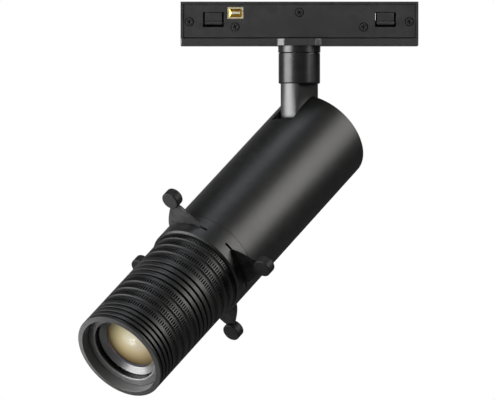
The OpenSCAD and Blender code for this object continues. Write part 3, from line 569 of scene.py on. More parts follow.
barrel_black = finish(
    "barrel black", 30, 32, (0.42, 0.46), grains=5000.0, depth=0.004, wear=0.04, worn=90,
    dust=0.03)
rim_grey = finish(
    "rim grey", 66, 69, (0.36, 0.4), metallic=0.45, grains=5000.0, depth=0.003, lines=2400.0,
    line_depth=0.002, wear=0.1, worn=160)
wall_grey = finish("wall grey", 110, 114, (0.5, 0.55), grains=5000.0, depth=0.003)
trim_grey = finish(
    "trim grey", 114, 118, (0.3, 0.36), metallic=0.6, grains=5000.0, depth=0.002, lines=1500.0,
    line_depth=0.004, wear=0.15, worn=190)


def make_clear_glass():
    """Uncoated glass of the inner lenses, with a faint haze that varies."""
    material, tree, shader = new_material("lens clear")
    haze = use(tree, GRAIN, Grains_per_metre=900.0, Mottle_per_metre=80.0).outputs["Mottle"]
    set_inputs(shader, Transmission_Weight=1.0, IOR=1.52,
               Roughness=remap(tree, haze, 0.0, 1.0, 0.0, 0.05),
               Base_Color=blend_colour(tree, haze, tone(244, 248, 246), tone(252, 253, 252)))
    return material


def make_glass_with_painted_glow(lens_radius):
    """Front lens: painted cream glow from inside, painted shade towards the rim, and a painted
    coating reflection in a thin band.

    The colour runs across the lens by its own Y and Z, in metres.
    """
    material, tree, shader = new_material("lens coated with painted glow")
    side, height = [math_node(tree, "DIVIDE", place, lens_radius * MM)
                    for place in list(split_axes(tree, own_place(tree)))[1:]]

    def reach_from(side_at, height_at):
        return length_of(tree, math_node(tree, "SUBTRACT", side, side_at),
                         math_node(tree, "SUBTRACT", height, height_at))

    # The painted glow patch lies off the middle, towards the upper side, and its ramp paints
    # darker shade towards the rim
    painted_glow_ramp = new_node(tree, "ValToRGB", Fac=remap(tree, reach_from(0.47, 0.27), 0.0, 1.4))
    painted_glow_stops = ((0.0, tone(208, 202, 189)), (0.24, tone(200, 191, 172)),
             (0.38, tone(184, 172, 144)), (0.5, tone(165, 153, 124)), (0.6, tone(144, 130, 102)),
             (0.72, tone(117, 105, 80)), (0.82, tone(80, 71, 52)), (0.9, tone(38, 33, 23)),
             (1.0, tone(22, 19, 14)))
    painted_glow_ramp.color_ramp.elements[0].color = painted_glow_stops[0][1]
    painted_glow_ramp.color_ramp.elements[1].color = painted_glow_stops[-1][1]
    for place, colour in painted_glow_stops[1:-1]:
        painted_glow_ramp.color_ramp.elements.new(place).color = colour
    # Painted light tint: olive above and amber below
    painted_light_tint = blend_colour(tree, remap(tree, height, -0.9, 0.9), (1.0, 0.88, 0.73, 1.0),
                        (0.94, 1.0, 0.93, 1.0))
    painted_glow_colour = blend_colour(tree, 1.0, painted_glow_ramp.outputs["Color"], painted_light_tint, "MULTIPLY")
    # Painted coating reflection: a thin band just inside the rim, rose at the side and blue below
    reach = reach_from(0.0, 0.0)
    band = math_node(tree, "MULTIPLY", remap(tree, reach, 0.74, 0.8),
                     remap(tree, reach, 0.92, 0.85))
    lower = math_node(tree, "SUBTRACT", math_node(tree, "MULTIPLY", height, -1.0), side)
    where = math_node(tree, "MULTIPLY", band, remap(tree, lower, 0.2, 1.0, 0.0, 0.5))
    coat = blend_colour(tree, remap(tree, height, -0.7, 0.0), tone(120, 126, 160),
                        tone(140, 112, 112))
    haze = use(tree, GRAIN, Grains_per_metre=900.0, Mottle_per_metre=120.0).outputs["Mottle"]
    set_inputs(shader, Base_Color=blend_colour(tree, where, painted_glow_colour, coat), IOR=1.5,
               Roughness=remap(tree, haze, 0.0, 1.0, 0.02, 0.06), Specular_IOR_Level=0.04)
    return material


# ---- Sizes, all from the CAD nodes, in millimetres ----

TUBE_WALL = 2.0
# Gap between a ring's bore and the lens tube that it turns on
RUNNING_GAP = 0.06
tube_rear, tube_front = along("tube")
tube_radius = radius("tube")
tube_bore = tube_radius - TUBE_WALL
housing_front = along("shutter_housing")[1]
blade_middle = sum(along("shutter_top") + along("shutter_left")) / 4
barrel_radius = radius("focus_ring")
zoom_rear, zoom_front = along("zoom_ring")
focus_rear, front = along("focus_ring")
lens_tube_radius = barrel_radius - 5.0
ring_bore = lens_tube_radius + RUNNING_GAP
mouth_radius = barrel_radius - 3.0
baffle_rear, baffle_front = along("front_baffle")
baffle_radius = mouth_radius - 4.4
lens_rear, lens_vertex = along("front_lens")
lens_radius = radius("front_lens")
retainer_rear, retainer_front = along("lens_retainer")

# The front lens's glow, its shade towards the rim and its coating reflection are painted into its
# colour
lens_coated = make_glass_with_painted_glow(lens_radius)
lens_clear = make_clear_glass()


# ---- Lamp tube and shutter housing ----

# The knuckle's slot in the tube
KNUCKLE_SLOT_HALF = 7.0
KNUCKLE_SLOT_LENGTH = 23.3
# The shutters' slots in the drum: degrees to each side of a quarter, and half the width
SLOT_HALF_ANGLE = 32
SLOT_HALF_WIDTH = 0.7


def make_tube():
    """Body tube with the knuckle's slot at its rear."""
    outline = [(tube_rear, tube_bore), (tube_rear, tube_radius - 0.5),
               (tube_rear + 0.5, tube_radius), (tube_front, tube_radius),
               (tube_front, tube_bore)]
    piece = finish_mesh("lamp_tube", turn(outline, 224), LAMP, tube_black)
    slot = box((-2, -KNUCKLE_SLOT_HALF, 0),
               (KNUCKLE_SLOT_LENGTH, KNUCKLE_SLOT_HALF, tube_radius + 2))
    carve(piece, slot)
    soften(piece, 0.22)
    stand_for(piece, "lamp", "tube_black", "tube")


def make_shutter_housing():
    """Short drum in front of the tube, with four slots for the shutters."""
    cavity = tube_bore - 1.1
    spigot = tube_bore - 0.1
    wall = blade_middle + 3.3
    back, fore = blade_middle - SLOT_HALF_WIDTH, blade_middle + SLOT_HALF_WIDTH
    outline = [(tube_front - 6, cavity), (tube_front - 6, spigot),
               (tube_front + 0.05, spigot), (tube_front + 0.05, tube_radius - 0.15),
               (tube_front + 0.2, tube_radius), (back, tube_radius), (fore, tube_radius),
               (housing_front - 1.0, tube_radius), (housing_front - 0.93, tube_radius - 0.02),
               (housing_front - 0.07, tube_radius - 0.88), (housing_front, tube_radius - 1.0),
               (housing_front, ring_bore), (wall, ring_bore),
               (wall, cavity), (fore, cavity), (back, cavity)]
    # Points of the outline on each side of the slots, outside and inside
    outside, inside = (5, 6), (15, 14)
    segments = 360
    angles = [math.radians(a) for a in range(segments)]
    shape = bmesh.new()
    rings = [[shape.verts.new((x, r * math.cos(angle), r * math.sin(angle))) for angle in angles]
             for x, r in outline]

    def in_slot(angle):
        return (angle + SLOT_HALF_ANGLE) % 90 < 2 * SLOT_HALF_ANGLE

    def wall(first, second, wanted):
        for a in range(segments):
            b = (a + 1) % segments
            if wanted(a):
                shape.faces.new((rings[first][a], rings[first][b],
                                 rings[second][b], rings[second][a]))

    for i in range(len(outline)):
        j = (i + 1) % len(outline)
        slotted = {i, j} in (set(outside), set(inside))
        wall(i, j, lambda a: not (slotted and in_slot(a)))
    for outer, inner in zip(outside, inside):
        wall(outer, inner, in_slot)
    for quarter in range(4):
        for edge in (-SLOT_HALF_ANGLE, SLOT_HALF_ANGLE):
            a = (90 * quarter + edge) % segments
            shape.faces.new((rings[outside[0]][a], rings[outside[1]][a],
                             rings[inside[1]][a], rings[inside[0]][a]))
    piece = finish_mesh("shutter_drum", shape, LAMP, tube_black)
    stand_for(piece, "lamp", "tube_black", "shutter_housing")


# ---- Knurled rings ----

TEETH = 116
# Across one tooth: valley, flank, crest, flank, as shares of the tooth and of its depth
TOOTH = ((0.0, 1.0), (0.36, 1.0), (0.46, 0.0), (0.9, 0.0))
KNURL_DEPTH = 0.62
HOLLOW_STEPS = 8


def tooth_spread():
    """Angles all round a knurled ring, each with how deep the valley is there."""
    step = 2 * math.pi / TEETH
    return [((i + share) * step, valley) for i in range(TEETH) for share, valley in TOOTH]


def grip_profile(front_place, grooves, hollows, bands, rear_place, front_edge, rear_edge):
    """Outside of a ring, from its front to its rear, as (x, radius, tooth depth) points.

    Places are in millimetres behind front_place.
    """
    groove_half, groove_depth = 0.65, 1.5
    hollow_half, hollow_depth = 1.2, 0.7
    base = barrel_radius - groove_depth
    # Half of a groove: how far from its middle, and the radius there
    groove = ((groove_half + 0.1, barrel_radius), (groove_half, barrel_radius - 0.1),
              (groove_half - 0.05, base + 0.1), (groove_half - 0.15, base))
    marks = [(place + side * reach, r) for place in grooves for side in (-1, 1)
             for reach, r in groove]
    for place in hollows:
        marks += [(place - hollow_half - 0.06, barrel_radius)]
        for step in range(HOLLOW_STEPS + 1):
            t = -1 + 2 * step / HOLLOW_STEPS
            marks.append((place + t * hollow_half,
                          barrel_radius - 0.04 - (hollow_depth - 0.04) * (1 - t * t)))
        marks += [(place + hollow_half + 0.06, barrel_radius)]
    for start, end in bands:
        marks += [(start, barrel_radius, 0.0), (start + 0.12, barrel_radius, KNURL_DEPTH),
                  (end - 0.12, barrel_radius, KNURL_DEPTH), (end, barrel_radius, 0.0)]
    marks.sort(key=lambda mark: mark[0])
    length = front_place - rear_place
    points = list(front_edge)
    points += [(front_place - mark[0], *mark[1:]) for mark in marks if 0 < mark[0] < length]
    return points + list(rear_edge)


def paint_slot_shade(piece, front_place, bands):
    """Paints shade into the bottoms and sides of the knurled slots with a near-black finish."""
    # The near-black given to the sunk faces is painted shade
    piece.data.materials.append(inner_black_and_slot_shade)
    slot = len(piece.data.materials) - 1
    for face in piece.data.polygons:
        behind = front_place - face.center.x / MM
        sunk = barrel_radius - math.hypot(face.center.y, face.center.z) / MM
        if sunk > 0.2 and any(start < behind < end for start, end in bands):
            face.material_index = slot


def make_focus_ring():
    """Front ring of the barrel: four grooves, then three hollows between knurled bands."""
    grooves = [2.5 + 3.2 * i for i in range(4)]
    first = grooves[-1] + 7.5
    hollows = [first + 6.15 * i for i in range(3)]
    bands = [(first - 4.55, first - 1.75)]
    bands += [(place + 1.65, place + 4.5) for place in hollows]
    front_edge = [(front, mouth_radius + 0.15), (front - 0.28, barrel_radius - 0.3),
                  (front - 0.36, barrel_radius - 0.1), (front - 0.6, barrel_radius)]
    rear_edge = [(focus_rear + 0.15, barrel_radius), (focus_rear, barrel_radius - 0.15),
                 (focus_rear, ring_bore), (front - 15.0, ring_bore),
                 (front - 15.0, lens_tube_radius - 1.9), (front - 13.0, lens_tube_radius - 1.9),
                 (front - 13.0, lens_tube_radius - 0.1), (baffle_rear, lens_tube_radius - 0.1),
                 (baffle_rear, mouth_radius), (front - 0.15, mouth_radius)]
    outline = grip_profile(front, grooves, hollows, bands, focus_rear, front_edge, rear_edge)
    piece = finish_mesh("focus_ring_grip", turn(outline, spread=tooth_spread()), LAMP,
                        barrel_black, sharp=28)
    # The end face and the wall behind it are turned bare
    piece.data.materials.append(rim_grey)
    piece.data.materials.append(wall_grey)
    for face in piece.data.polygons:
        reach = math.hypot(face.center.y, face.center.z) / MM
        ahead = face.center.x / MM
        if reach < mouth_radius + 0.05 and ahead > baffle_rear:
            face.material_index = 2
        elif ahead > front - 0.4:
            face.material_index = 1
    paint_slot_shade(piece, front, bands)
    stand_for(piece, "focus_grip", "barrel_black", "focus_ring")


def make_zoom_ring():
    """Rear ring of the barrel, cut like the front one on a wider pitch."""
    offset = front - zoom_front
    grooves = [39.1 + 3.85 * i - offset for i in range(4)]
    first = grooves[-1] + 8.15
    hollows = [first + 6.1 * i for i in range(3)]
    bands = [(first - 4.6, first - 1.75)]
    bands += [(place + 1.65, place + 4.45) for place in hollows[:2]]
    bands += [(hollows[2] + 1.5, hollows[2] + 4.2)]
    front_edge = [(zoom_front, lens_tube_radius + 1.2), (zoom_front, barrel_radius - 1.5)]
    rear_edge = [(zoom_rear + 0.6, barrel_radius), (zoom_rear + 0.15, barrel_radius - 0.2),
                 (zoom_rear, barrel_radius - 0.6), (zoom_rear, ring_bore),
                 (zoom_front - 1.8, ring_bore),
                 (zoom_front - 1.8, lens_tube_radius + 1.2)]
    outline = grip_profile(zoom_front, grooves, hollows, bands, zoom_rear, front_edge, rear_edge)
    piece = finish_mesh("zoom_ring_grip", turn(outline, spread=tooth_spread()), LAMP,
                        barrel_black, sharp=28)
    paint_slot_shade(piece, zoom_front, bands)
    stand_for(piece, "zoom_grip", "barrel_black", "zoom_ring")


# ---- Inside the front opening ----

def ridges(start, end, count, depth):
    """Points of a row of turned ridges between two (x, radius) points, cut to their left."""
    first, last = Vector(start), Vector(end)
    run = last - first
    into = Vector((run.y, -run.x)).normalized() * depth
    points = []
    for i in range(count):
        for share, low in ((0.05, 0), (0.5, 0), (0.62, 1), (0.93, 1)):
            points.append(tuple(first + run * ((i + share) / count) + into * low))
    return points


def make_front_baffle():
    """Flat ring behind the rim, with its turning lines and a bright lip."""
    face = baffle_front
    seat = mouth_radius - 0.42
    outline = [(baffle_rear, baffle_radius + 0.3), (baffle_rear, seat), (face - 0.1, seat),
               (face, seat - 0.1)]
    outline += ridges((face, seat - 0.12), (face, baffle_radius + 0.6), 5, -0.12)
    outline += [(face, baffle_radius + 0.4), (face - 0.02, baffle_radius + 0.2),
                (face - 0.12, baffle_radius + 0.04), (face - 0.3, baffle_radius)]
    piece = finish_mesh("front_baffle_ring", turn(outline, 192), LAMP, trim_grey, sharp=20)
    stand_for(piece, "focus_grip", "trim_grey", "front_baffle")


def make_lens_retainer():
    """Threaded ring that holds the front lens, with a ridged cone down to its lip."""
    cell = baffle_radius - 0.3
    clear = lens_radius - 1.7
    lip = (retainer_front - 2.16, clear)
    outline = [(retainer_rear + 0.02, lens_radius - 0.15), (retainer_rear + 0.3, lens_radius),
               (front - 10.4, lens_radius), (front - 10.4, cell), (retainer_front, cell)]
    outline += ridges((retainer_front, cell - 0.2), (lip[0] + 0.12, clear + 0.55), 5, -0.12)
    outline += [(lip[0] + 0.02, clear + 0.3), (lip[0] - 0.06, clear + 0.08),
                (lip[0] - 0.22, clear), (lip[0] - 0.5, clear)]
    piece = finish_mesh("lens_retaining_ring", turn(outline, 192), LAMP, trim_grey, sharp=20)
    stand_for(piece, "focus_cell", "trim_grey", "lens_retainer")


def make_front_lens():
    """Plano-convex front lens with a ground edge."""
    curve = 36.0
    centre = lens_vertex - curve
    outline = [(lens_rear, 0.0), (lens_rear, lens_radius - 0.15), (lens_rear + 0.15, lens_radius)]
    rings = 26
    widest = math.asin(lens_radius / curve)
    rim = centre + curve * math.cos(widest)
    outline.append((rim - 0.12, lens_radius))
    for i in range(rings):
        angle = widest * 0.995 * (1 - i / rings)
        outline.append((centre + curve * math.cos(angle), curve * math.sin(angle)))
    outline.append((lens_vertex, 0.0))
    piece = finish_mesh("objective_lens", turn(outline, 144), LAMP, lens_coated, sharp=40)
    stand_for(piece, "focus_cell", "lens_coated", "front_lens")


# ---- Shutters ----

BLADE_THICKNESS = 0.6
# Distance of the knobs' middles from the beam axis
KNOB_RING = tube_radius + 16
KNOB_RADIUS = 5.0
KNOB_LENGTH = 5.7
# Turn of each shutter about the beam, in degrees
SIDES = {"top": 0, "left": -90, "bottom": 180, "right": 90}


def blade_outline():
    """Blade in its own plane, from inside the housing out to its tongue in the knob."""
    root, neck = tube_radius - 1.5, KNOB_RING - KNOB_RADIUS + 0.3
    wide, narrow = 10.9, 3.5
    side = []
    for i in range(17):
        share = i / 16
        side.append((narrow + (wide - narrow) * (1 - share ** 1.35),
                     root + (neck - root) * share))
    tongue = [(3.0, neck + 0.2), (3.0, KNOB_RING + 2), (-3.0, KNOB_RING + 2), (-3.0, neck + 0.2)]
    return ([(wide, 11.2)] + side + tongue + [(-x, z) for x, z in reversed(side)]
            + [(-wide, 11.2)])


def make_shutter(side):
    """One framing shutter and its knob."""
    node = "shutter_" + side
    middle_x = sum(along(node)) / 2
    about = about_x(SIDES[side])
    # The outline's X runs along Y, its Y along Z, and the plate's depth along X
    swap = Matrix(((0, 0, 1, 0), (1, 0, 0, 0), (0, 1, 0, 0), (0, 0, 0, 1)))
    plate = extrude(blade_outline(), BLADE_THICKNESS, middle_x - BLADE_THICKNESS / 2)
    move(plate, about @ swap)
    blade = soften(finish_mesh("framing_blade_" + side, plate, LAMP, blade_black), 0.1, sharp=50)
    stand_for(blade, "blade_" + side, "blade_black", node)

    half = KNOB_LENGTH / 2
    outline = [(middle_x - half, 0.0), (middle_x - half, KNOB_RADIUS - 0.7),
               (middle_x - half + 0.16, KNOB_RADIUS - 0.28),
               (middle_x - half + 0.42, KNOB_RADIUS - 0.06),
               (middle_x - half + 0.8, KNOB_RADIUS)]
    outline += [(2 * middle_x - x, r) for x, r in reversed(outline)]
    shape = turn(outline, 72)
    move(shape, Matrix.Translation((0, 0, KNOB_RING)))
    knob = finish_mesh("shutter_knob_" + side, shape, LAMP, knob_black)
    slit = box((middle_x - 0.34, -3.6, KNOB_RING - 8), (middle_x + 0.34, 3.6, KNOB_RING + 2.05))
    carve(knob, slit)
    soften(knob, 0.06, angle=50)
    knob.data.transform(about)
    stand_for(knob, "blade_" + side, "knob_black", "knob_" + side)


# ---- Swivel ----

# The stem's own +X runs down from the adapter's top
STEM = place_of(Vector((0, 0, 0)), Vector((0, 0, -1)), INTO, ACROSS)
SPINDLE_BORE = 5.06
SPIGOT_BORE = 8.05


def stem_sizes(node):
    """Depths of a node's two ends below the adapter's top, and its radius, in millimetres."""
    low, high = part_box(node)
    return -high.z / MM, -low.z / MM, (high.x - low.x) / 2 / MM


def make_stem():
    """Turned stem of the swivel, hollow for the knuckle's spigot and the spindle."""
    top, bottom, outer = stem_sizes("stem")
    outline = [(top, SPINDLE_BORE), (top, outer - 0.35), (top + 0.1, outer - 0.1),
               (top + 0.35, outer),
               (bottom - 0.8, outer), (bottom - 0.4, outer - 0.1), (bottom - 0.1, outer - 0.4),
               (bottom, outer - 0.8), (bottom, SPIGOT_BORE), (top + 5.15, SPIGOT_BORE),
               (top + 5.15, SPINDLE_BORE)]
    piece = finish_mesh("swivel_stem", turn(outline, 160), STEM, swivel_black)
    stand_for(piece, "swivel", "swivel_black", "stem")


def make_collar():
    """Fixed collar between the base plate and the stem."""
    top, bottom, outer = stem_sizes("pan_collar")
    outline = [(top, SPINDLE_BORE), (top, outer), (bottom - 0.35, outer),
               (bottom - 0.1, outer - 0.1), (bottom, outer - 0.35), (bottom, SPINDLE_BORE)]
    piece = finish_mesh("swivel_collar", turn(outline, 160), STEM, swivel_black)
    stand_for(piece, "adapter", "swivel_black", "pan_collar")


# ---- Screws ----

def screw_head(head_radius, head_height, shank_radius, length, recess):
    """Pan-head screw along +X from its face, with a tapered cross recess. Returns a mesh."""
    outline = [(0.14, 0.0), (0.1, head_radius * 0.5), (0.12, head_radius * 0.8),
               (0.22, head_radius * 0.94), (0.4, head_radius), (head_height, head_radius),
               (head_height, shank_radius), (length - 0.3, shank_radius),
               (length, shank_radius * 0.6), (length, 0.0)]
    piece = finish_mesh("screw", turn(outline, 48), ADAPTER, screw_black)
    cutters = []
    for about in (0, 90):
        near = [(recess, 0.36), (recess, -0.36), (-recess, -0.36), (-recess, 0.36)]
        cutter = loft([[(x, y * scale, z * max(scale, 0.7)) for y, z in near]
                       for x, scale in ((-0.5, 1.2), (0.86, 0.6))])
        move(cutter, about_x(about))
        cutters.append(cutter)
    carve(piece, *cutters)
    soften(piece, 0.05, angle=50)
    mesh = piece.data
    bpy.data.objects.remove(piece)
    return mesh


def set_screws(name, mesh, places, node):
    """One piece holding a copy of a screw at each place."""
    shape = bmesh.new()
    for place in places:
        copy = mesh.copy()
        copy.transform(place)
        shape.from_mesh(copy)
        bpy.data.meshes.remove(copy)
    joined = bpy.data.meshes.new(name)
    shape.to_mesh(joined)
    shape.free()
    smooth(joined, 32)
    joined.materials.append(screw_black)
    stand_for(put(name, joined), "adapter", "screw_black", node)


def make_cover_screws():
    """Ten cross-head screws, five on each side cover."""
    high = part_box("cover_screws")[1]
    face = high.y
    mesh = screw_head(2.18, 0.9, 0.86, 6.0, 1.5)
    places = []
    # Places of the cover screws along and up the cover, in millimetres
    end, inner = high.x / MM - 2.4, 35.1
    spots = ((-end, -11.009), (-inner, -13.9), (0.0, -5.9), (inner, -13.9), (end, -11.009))
    for side in (-1, 1):
        inward = Vector((0, -side, 0))
        for i, (x, z) in enumerate(spots):
            origin = Vector((x * MM, side * face, z * MM))
            places.append(place_of(origin, inward, UP.cross(inward), UP)
                          @ about_x(17 + 31 * i * side))
    set_screws("cover_screw_set", mesh, places, "cover_screws")


BASE_SCREW_RADIUS = 2.1


def make_base_screws():
    """Two countersunk screws that hold the base plate from below."""
    low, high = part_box("base_screws")
    mesh = screw_head(BASE_SCREW_RADIUS, 1.6, 0.98, (high.z - low.z) / MM, 1.2)
    places = []
    for x in (low.x + BASE_SCREW_RADIUS * MM, high.x - BASE_SCREW_RADIUS * MM):
        places.append(place_of(Vector((x, 0, low.z)), UP, ACROSS, INTO))
    set_screws("base_screw_pair", mesh, places, "base_screws")


# ---- Spring latches and contacts ----

def make_latch(name, body, node):
    """Spring tab with a crease, a sloping nose and a rolled lower lip."""
    low, high, side, back, nose = outward(node)
    face = nose - 0.9
    # The top stays a hair below its root, clear of the cover when the tab is pressed
    top, foot = high.z - 0.12, low.z
    outline = [(back, top), (face - 0.14, top), (face, top - 0.14), (face, foot + 2.35),
               (face - 0.06, foot + 2.2), (face - 0.32, foot + 2.1), (face - 0.06, foot + 1.95),
               (face, foot + 1.88),
               (nose - 0.1, foot + 1.0), (nose - 0.02, foot + 0.8), (nose - 0.1, foot + 0.45),
               (face + 0.1, foot + 0.12), (face - 0.1, foot), (back, foot)]
    shape = loft([[(x, side * y, z) for y, z in outline] for x in (low.x, high.x)])
    piece = finish_mesh(name, shape, ADAPTER, adapter_black)
    soften(piece, 0.08, angle=60)
    stand_for(piece, body, "adapter_black", node)


def make_contact(name, body, node):
    """Spring contact: a gilt tip with four slopes and a bright flat, in a cream frame."""
    low, high, side, back, nose = outward(node)
    face = nose - 1.0
    middle_x, middle_z = (low.x + high.x) / 2, (low.z + high.z) / 2
    half_x, half_z = (high.x - low.x) / 2, (high.z - low.z) / 2

    def stepped(rows, corner):
        """Solid through rounded rectangles, given as (depth, half width, half height)."""
        loops = []
        for depth, wide, tall in rows:
            outline = rounded([(-wide, -tall), (wide, -tall), (wide, tall), (-wide, tall)],
                              corner)
            loops.append([(middle_x + x, side * depth, middle_z + z) for x, z in outline])
        return loft(loops)

    holder = stepped(((back, half_x, half_z), (face - 0.2, half_x, half_z),
                    (face + 0.1, half_x - 0.1, half_z - 0.1),
                    (face + 0.12, half_x - 0.55, half_z - 0.5),
                    (face - 0.1, half_x - 0.6, half_z - 0.55)), 0.6)
    piece = finish_mesh(name + "_frame", holder, ADAPTER, carrier_cream, sharp=40)
    stand_for(piece, body, "carrier_cream", node)
    tip = stepped(((face - 0.6, half_x - 0.6, half_z - 0.55),
                 (face + 0.05, half_x - 0.6, half_z - 0.55),
                 (face + 0.15, half_x - 0.7, half_z - 0.65),
                 (nose - 0.1, 2.45, 0.6), (nose - 0.02, 2.3, 0.48)), 0.12)
    piece = finish_mesh(name + "_tip", tip, ADAPTER, contact_gold, sharp=20)
    piece.data.materials.append(contact_tip)
    for part in piece.data.polygons:
        if part.center.y * side / MM > nose - 0.11:
            part.material_index = 1
    stand_for(piece, body, "contact_gold")


def make_base_plate():
    """Plate under the adapter, with a boss whose long flanks run out into the edge."""
    low, high = corners_of("base_plate")
    edge, boss = 10.0, high.y - 10.0
    run_out, flank = 12.8, 5.2

    def swell(x):
        share = max(0.0, min(1.0, (run_out - abs(x)) / flank))
        return edge + boss * share * share * (3 - 2 * share)

    steps = [-run_out + 0.4 * i for i in range(65)]
    near = [(x, -swell(x)) for x in steps]
    far = [(x, swell(x)) for x in reversed(steps)]
    ends = rounded([(low.x, edge), (low.x, -edge), (high.x, -edge), (high.x, edge)], 1.0, 4)
    half = len(ends) // 2
    outline = ends[:half] + near + ends[half:] + far
    piece = finish_mesh("adapter_base", extrude(outline, high.z - low.z, at=low.z), ADAPTER,
                        base_black)
    screws_low, screws_high = corners_of("base_screws")
    for x in (screws_low.x + BASE_SCREW_RADIUS, screws_high.x - BASE_SCREW_RADIUS):
        seat = turn([(-1.0, 0.0), (-1.0, 2.3), (1.7, 2.3), (1.7, 1.1), (9.0, 1.1), (9.0, 0.0)], 48)
        move(seat, Matrix.Translation((x, 0, low.z)) @ Matrix.Rotation(math.radians(-90), 4, "Y"))
        carve(piece, seat)
    soften(piece, 0.22, angle=50)
    stand_for(piece, "adapter", "base_black", "base_plate")


# ---- Pieces ----

make_tube()
make_shutter_housing()
make_zoom_ring()
make_focus_ring()
make_front_baffle()
make_lens_retainer()
make_front_lens()
for side in SIDES:
    make_shutter(side)
make_stem()
make_collar()
make_cover_screws()
make_base_screws()
make_base_plate()
for end in ("front", "back"):
    make_contact("contact_" + end, "contact_plunger_" + end, "contact_" + end)
    for hand in ("left", "right"):
        make_latch("latch_tab_" + end + "_" + hand, "latch_" + end[0] + hand[0],
                   "latch_" + end + "_" + hand)

# CAD nodes whose shape is right, given softened edges:
# node, piece, edge width in millimetres, body, slot and finish
SOFTENED = (
    ("housing", "adapter_housing", 0.22, "adapter", "adapter_black", adapter_black),
    ("front_cover", "side_cover_front", 0.22, "adapter", "adapter_black", adapter_black),
    ("back_cover", "side_cover_back", 0.22, "adapter", "adapter_black", adapter_black),
    ("contact_carrier", "contact_holder", 0.15, "adapter", "carrier_cream", carrier_cream),
    ("magnets", "holding_magnets", 0.2, "adapter", "magnet", magnet_nickel),
    ("knuckle", "swivel_knuckle", 0.3, "swivel", "knuckle_black", knuckle_black),
    ("rear_cap", "tube_rear_cap", 0.25, "lamp", "tube_black", tube_black),
    ("pivot_bracket", "tilt_bracket", 0.2, "lamp", "bracket_grey", bracket_grey),
)


def open_seam(piece, node):
    """Draws a cover's outer edges in by a hair, so that its seam shows."""
    low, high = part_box(node)
    edge, seam = 0.4 * MM, 0.14 * MM
    for corner in piece.data.vertices:
        for axis in (0, 2):
            if corner.co[axis] < low[axis] + edge:
                corner.co[axis] += seam
            elif corner.co[axis] > high[axis] - edge:
                corner.co[axis] -= seam


for node, name, width, body, slot, material in SOFTENED:
    piece = from_cad(node, name, width, material)
    if node in ("front_cover", "back_cover"):
        open_seam(piece, node)
    stand_for(piece, body, slot, node)

# CAD nodes kept as they are, each with its finish
KEPT = (
    (contact_gold, ("contact_leaf",)),
    (board_green, ("driver_board",)),
    (component_dark, ("driver_parts",)),
    (steel, ("spindle", "pan_nut", "pan_washer", "tilt_screw", "tilt_washers", "gate_screws",
             "zoom_clip", "focus_clip")),
    (wire_red, ("stem_wires", "lamp_wires")),
    (screw_black, ("lamp_screws",)),
    (sink_aluminium, ("heat_sink",)),
    (led_white, ("led_board", "led_holder")),
    (led_phosphor, ("led_chip",)),
    (reflector_bright, ("reflector",)),
    (lens_clear, ("condenser_lens", "zoom_lens")),
    (swivel_black, ("condenser_ring",)),
    (inner_black_and_slot_shade, ("lens_tube", "focus_carriage")),
    (bracket_grey, ("gate_plate", "zoom_carriage")),
)
for material, nodes in KEPT:
    for node in nodes:
        mesh = frame["nodes"][node].data
        mesh.materials.clear()
        mesh.materials.append(material)

# ---- Floor, world and lights ----

def camera_ray(tree):
    """One where the camera looks, none where light falls."""
    return new_node(tree, "LightPath").outputs["Is Camera Ray"]


def mix_shaders(tree, share, first, second):
    """Shader that goes from first to second with a share."""
    mix = new_node(tree, "MixShader", Fac=share)
    for socket, shader in zip(mix.inputs[1:], (first, second)):
        feed(socket, shader.outputs[0])
    return mix.outputs[0]


floor_shape = bmesh.new()
bmesh.ops.create_circle(floor_shape, cap_ends=True, segments=96, radius=30.0)
floor_mesh = bpy.data.meshes.new("floor")
floor_shape.to_mesh(floor_mesh)
floor_shape.free()
floor = put("floor", floor_mesh)
floor.location.z = -2.0
floor_pale = finish("floor pale", 226, 232, (0.7, 0.8), grains=300.0, depth=0.05, mottle=3.0)
# It lies far below the lamp, so that it throws little light up, and glows pale for the camera
floor_tree = floor_pale.node_tree
floor_shader = set_inputs(floor_tree.nodes["Principled BSDF"], Emission_Color=tone(244),
                          Emission_Strength=camera_ray(floor_tree))
# From below, it is clear
underside = new_node(floor_tree, "NewGeometry").outputs["Backfacing"]
set_inputs(floor_tree.nodes["Material Output"],
           Surface=mix_shaders(floor_tree, underside, floor_shader,
                               new_node(floor_tree, "BsdfTransparent")))
floor_mesh.materials.append(floor_pale)

world = bpy.data.worlds.new("studio")
scene.world = world
world.use_nodes = True
air = world.node_tree
air.nodes.clear()
# Dim all round and brighter behind the lamp for its reflections, plain white to the camera
direction = split_axes(air, new_node(air, "TexCoord").outputs["Generated"])
dim = new_node(air, "Background", Color=(0.97, 0.985, 1, 1),
               Strength=remap(air, direction["Y"], 0.75, 1.0, 0.04, 0.5))
white = new_node(air, "Background", Color=(1, 1, 1, 1), Strength=1.0)
new_node(air, "OutputWorld", Surface=mix_shaders(air, camera_ray(air), dim, white))
scene.view_settings.view_transform = "Standard"
scene.view_settings.look = "None"

TARGET = Vector((-0.03, -0.05, -0.11))


def soft_box(name, direction, distance, size, power, colour=(1, 1, 1)):
    """Area light aimed at the lamp."""
    data = bpy.data.lights.new(name, "AREA")
    data.shape = "RECTANGLE"
    data.size, data.size_y = size
    data.energy = power
    data.color = colour
    light = put(name, data)
    away = Vector(direction).normalized()
    light.location = TARGET + away * distance
    light.rotation_euler = away.to_track_quat("Z", "Y").to_euler()
    light.visible_camera = False
    return light


def light_only(light, *names):
    """The light falls on the named pieces alone."""
    chosen = bpy.data.collections.new(light.name + " falls on")
    for name in names:
        chosen.objects.link(bpy.data.objects[name])
    light.light_linking.receiver_collection = chosen


def light_all_but(light, *names):
    """The light falls on every piece but the named ones."""
    light_only(light, *names)
    for chosen in light.light_linking.receiver_collection.collection_objects:
        chosen.light_linking.link_state = "EXCLUDE"


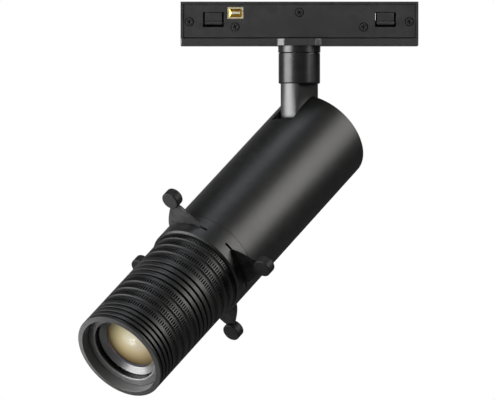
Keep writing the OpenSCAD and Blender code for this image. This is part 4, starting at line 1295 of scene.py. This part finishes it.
RIGHT = (0.885, -0.15, 0.435)
WARM = (1.0, 0.985, 0.96)
COOL = (0.88, 0.94, 1.0)

key_light = soft_box("key right", RIGHT, 1.6, (0.6, 0.6), 13, WARM)
left_light = soft_box("left", (-0.94, -0.34, 0.0), 1.5, (1.3, 1.2), 37)
soft_box("top", (0.01, 0.07, 1.0), 1.4, (0.5, 0.3), 2.4, COOL)
front_light = soft_box("front above", (-0.2, -0.75, 0.62), 2.4, (2.0, 1.2), 6, WARM)

# A wider light on the tube and its drum, for the broad soft band along them
light_all_but(key_light, "lamp_tube", "shutter_drum", "swivel_knuckle")
tube_light = soft_box("key right wide", RIGHT, 1.6, (1.1, 1.1), 22, WARM)
light_only(tube_light, "lamp_tube", "shutter_drum")

# Less of the key light on the knuckle
knuckle_light = soft_box("knuckle side", RIGHT, 1.6, (0.6, 0.6), 6, WARM)
light_only(knuckle_light, "swivel_knuckle")

# The second streak down the stem and on the boss
stem_light = soft_box("stem side", (0.84, -0.545, 0.05), 1.5, (0.4, 0.8), 2.0)
light_only(stem_light, "swivel_stem", "swivel_collar", "adapter_base")

# The glow on the rim and on the upper shutter
rim_light = soft_box("low left", (-0.905, 0.277, -0.522), 0.45, (0.24, 0.24), 0.5)
light_only(rim_light, "focus_ring_grip", "front_baffle_ring", "lens_retaining_ring",
           "framing_blade_top", "shutter_knob_top")

# The blade on the lamp's left lies in the barrel's shade
light_all_but(left_light, "framing_blade_left")
light_all_but(front_light, "framing_blade_left")

# Two lamps seen in the front lens, close in front of it
LENS_FACE = Vector((-0.09, -0.1135, -0.183))
GLINT_DISTANCE = 0.28
for name, direction, size, power in (("lens glint", (-0.665, -0.111, -0.75), (0.089, 0.058), 0.42),
                                     ("lens glow", (-0.735, -0.106, -0.67), (0.15, 0.09), 0.34)):
    glint = soft_box(name, direction, 1.0, size, power, (0.92, 0.96, 1.0))
    glint.data.shape = "ELLIPSE"
    glint.location = LENS_FACE + Vector(direction).normalized() * GLINT_DISTANCE
    glint.visible_diffuse = False
    light_only(glint, "objective_lens")
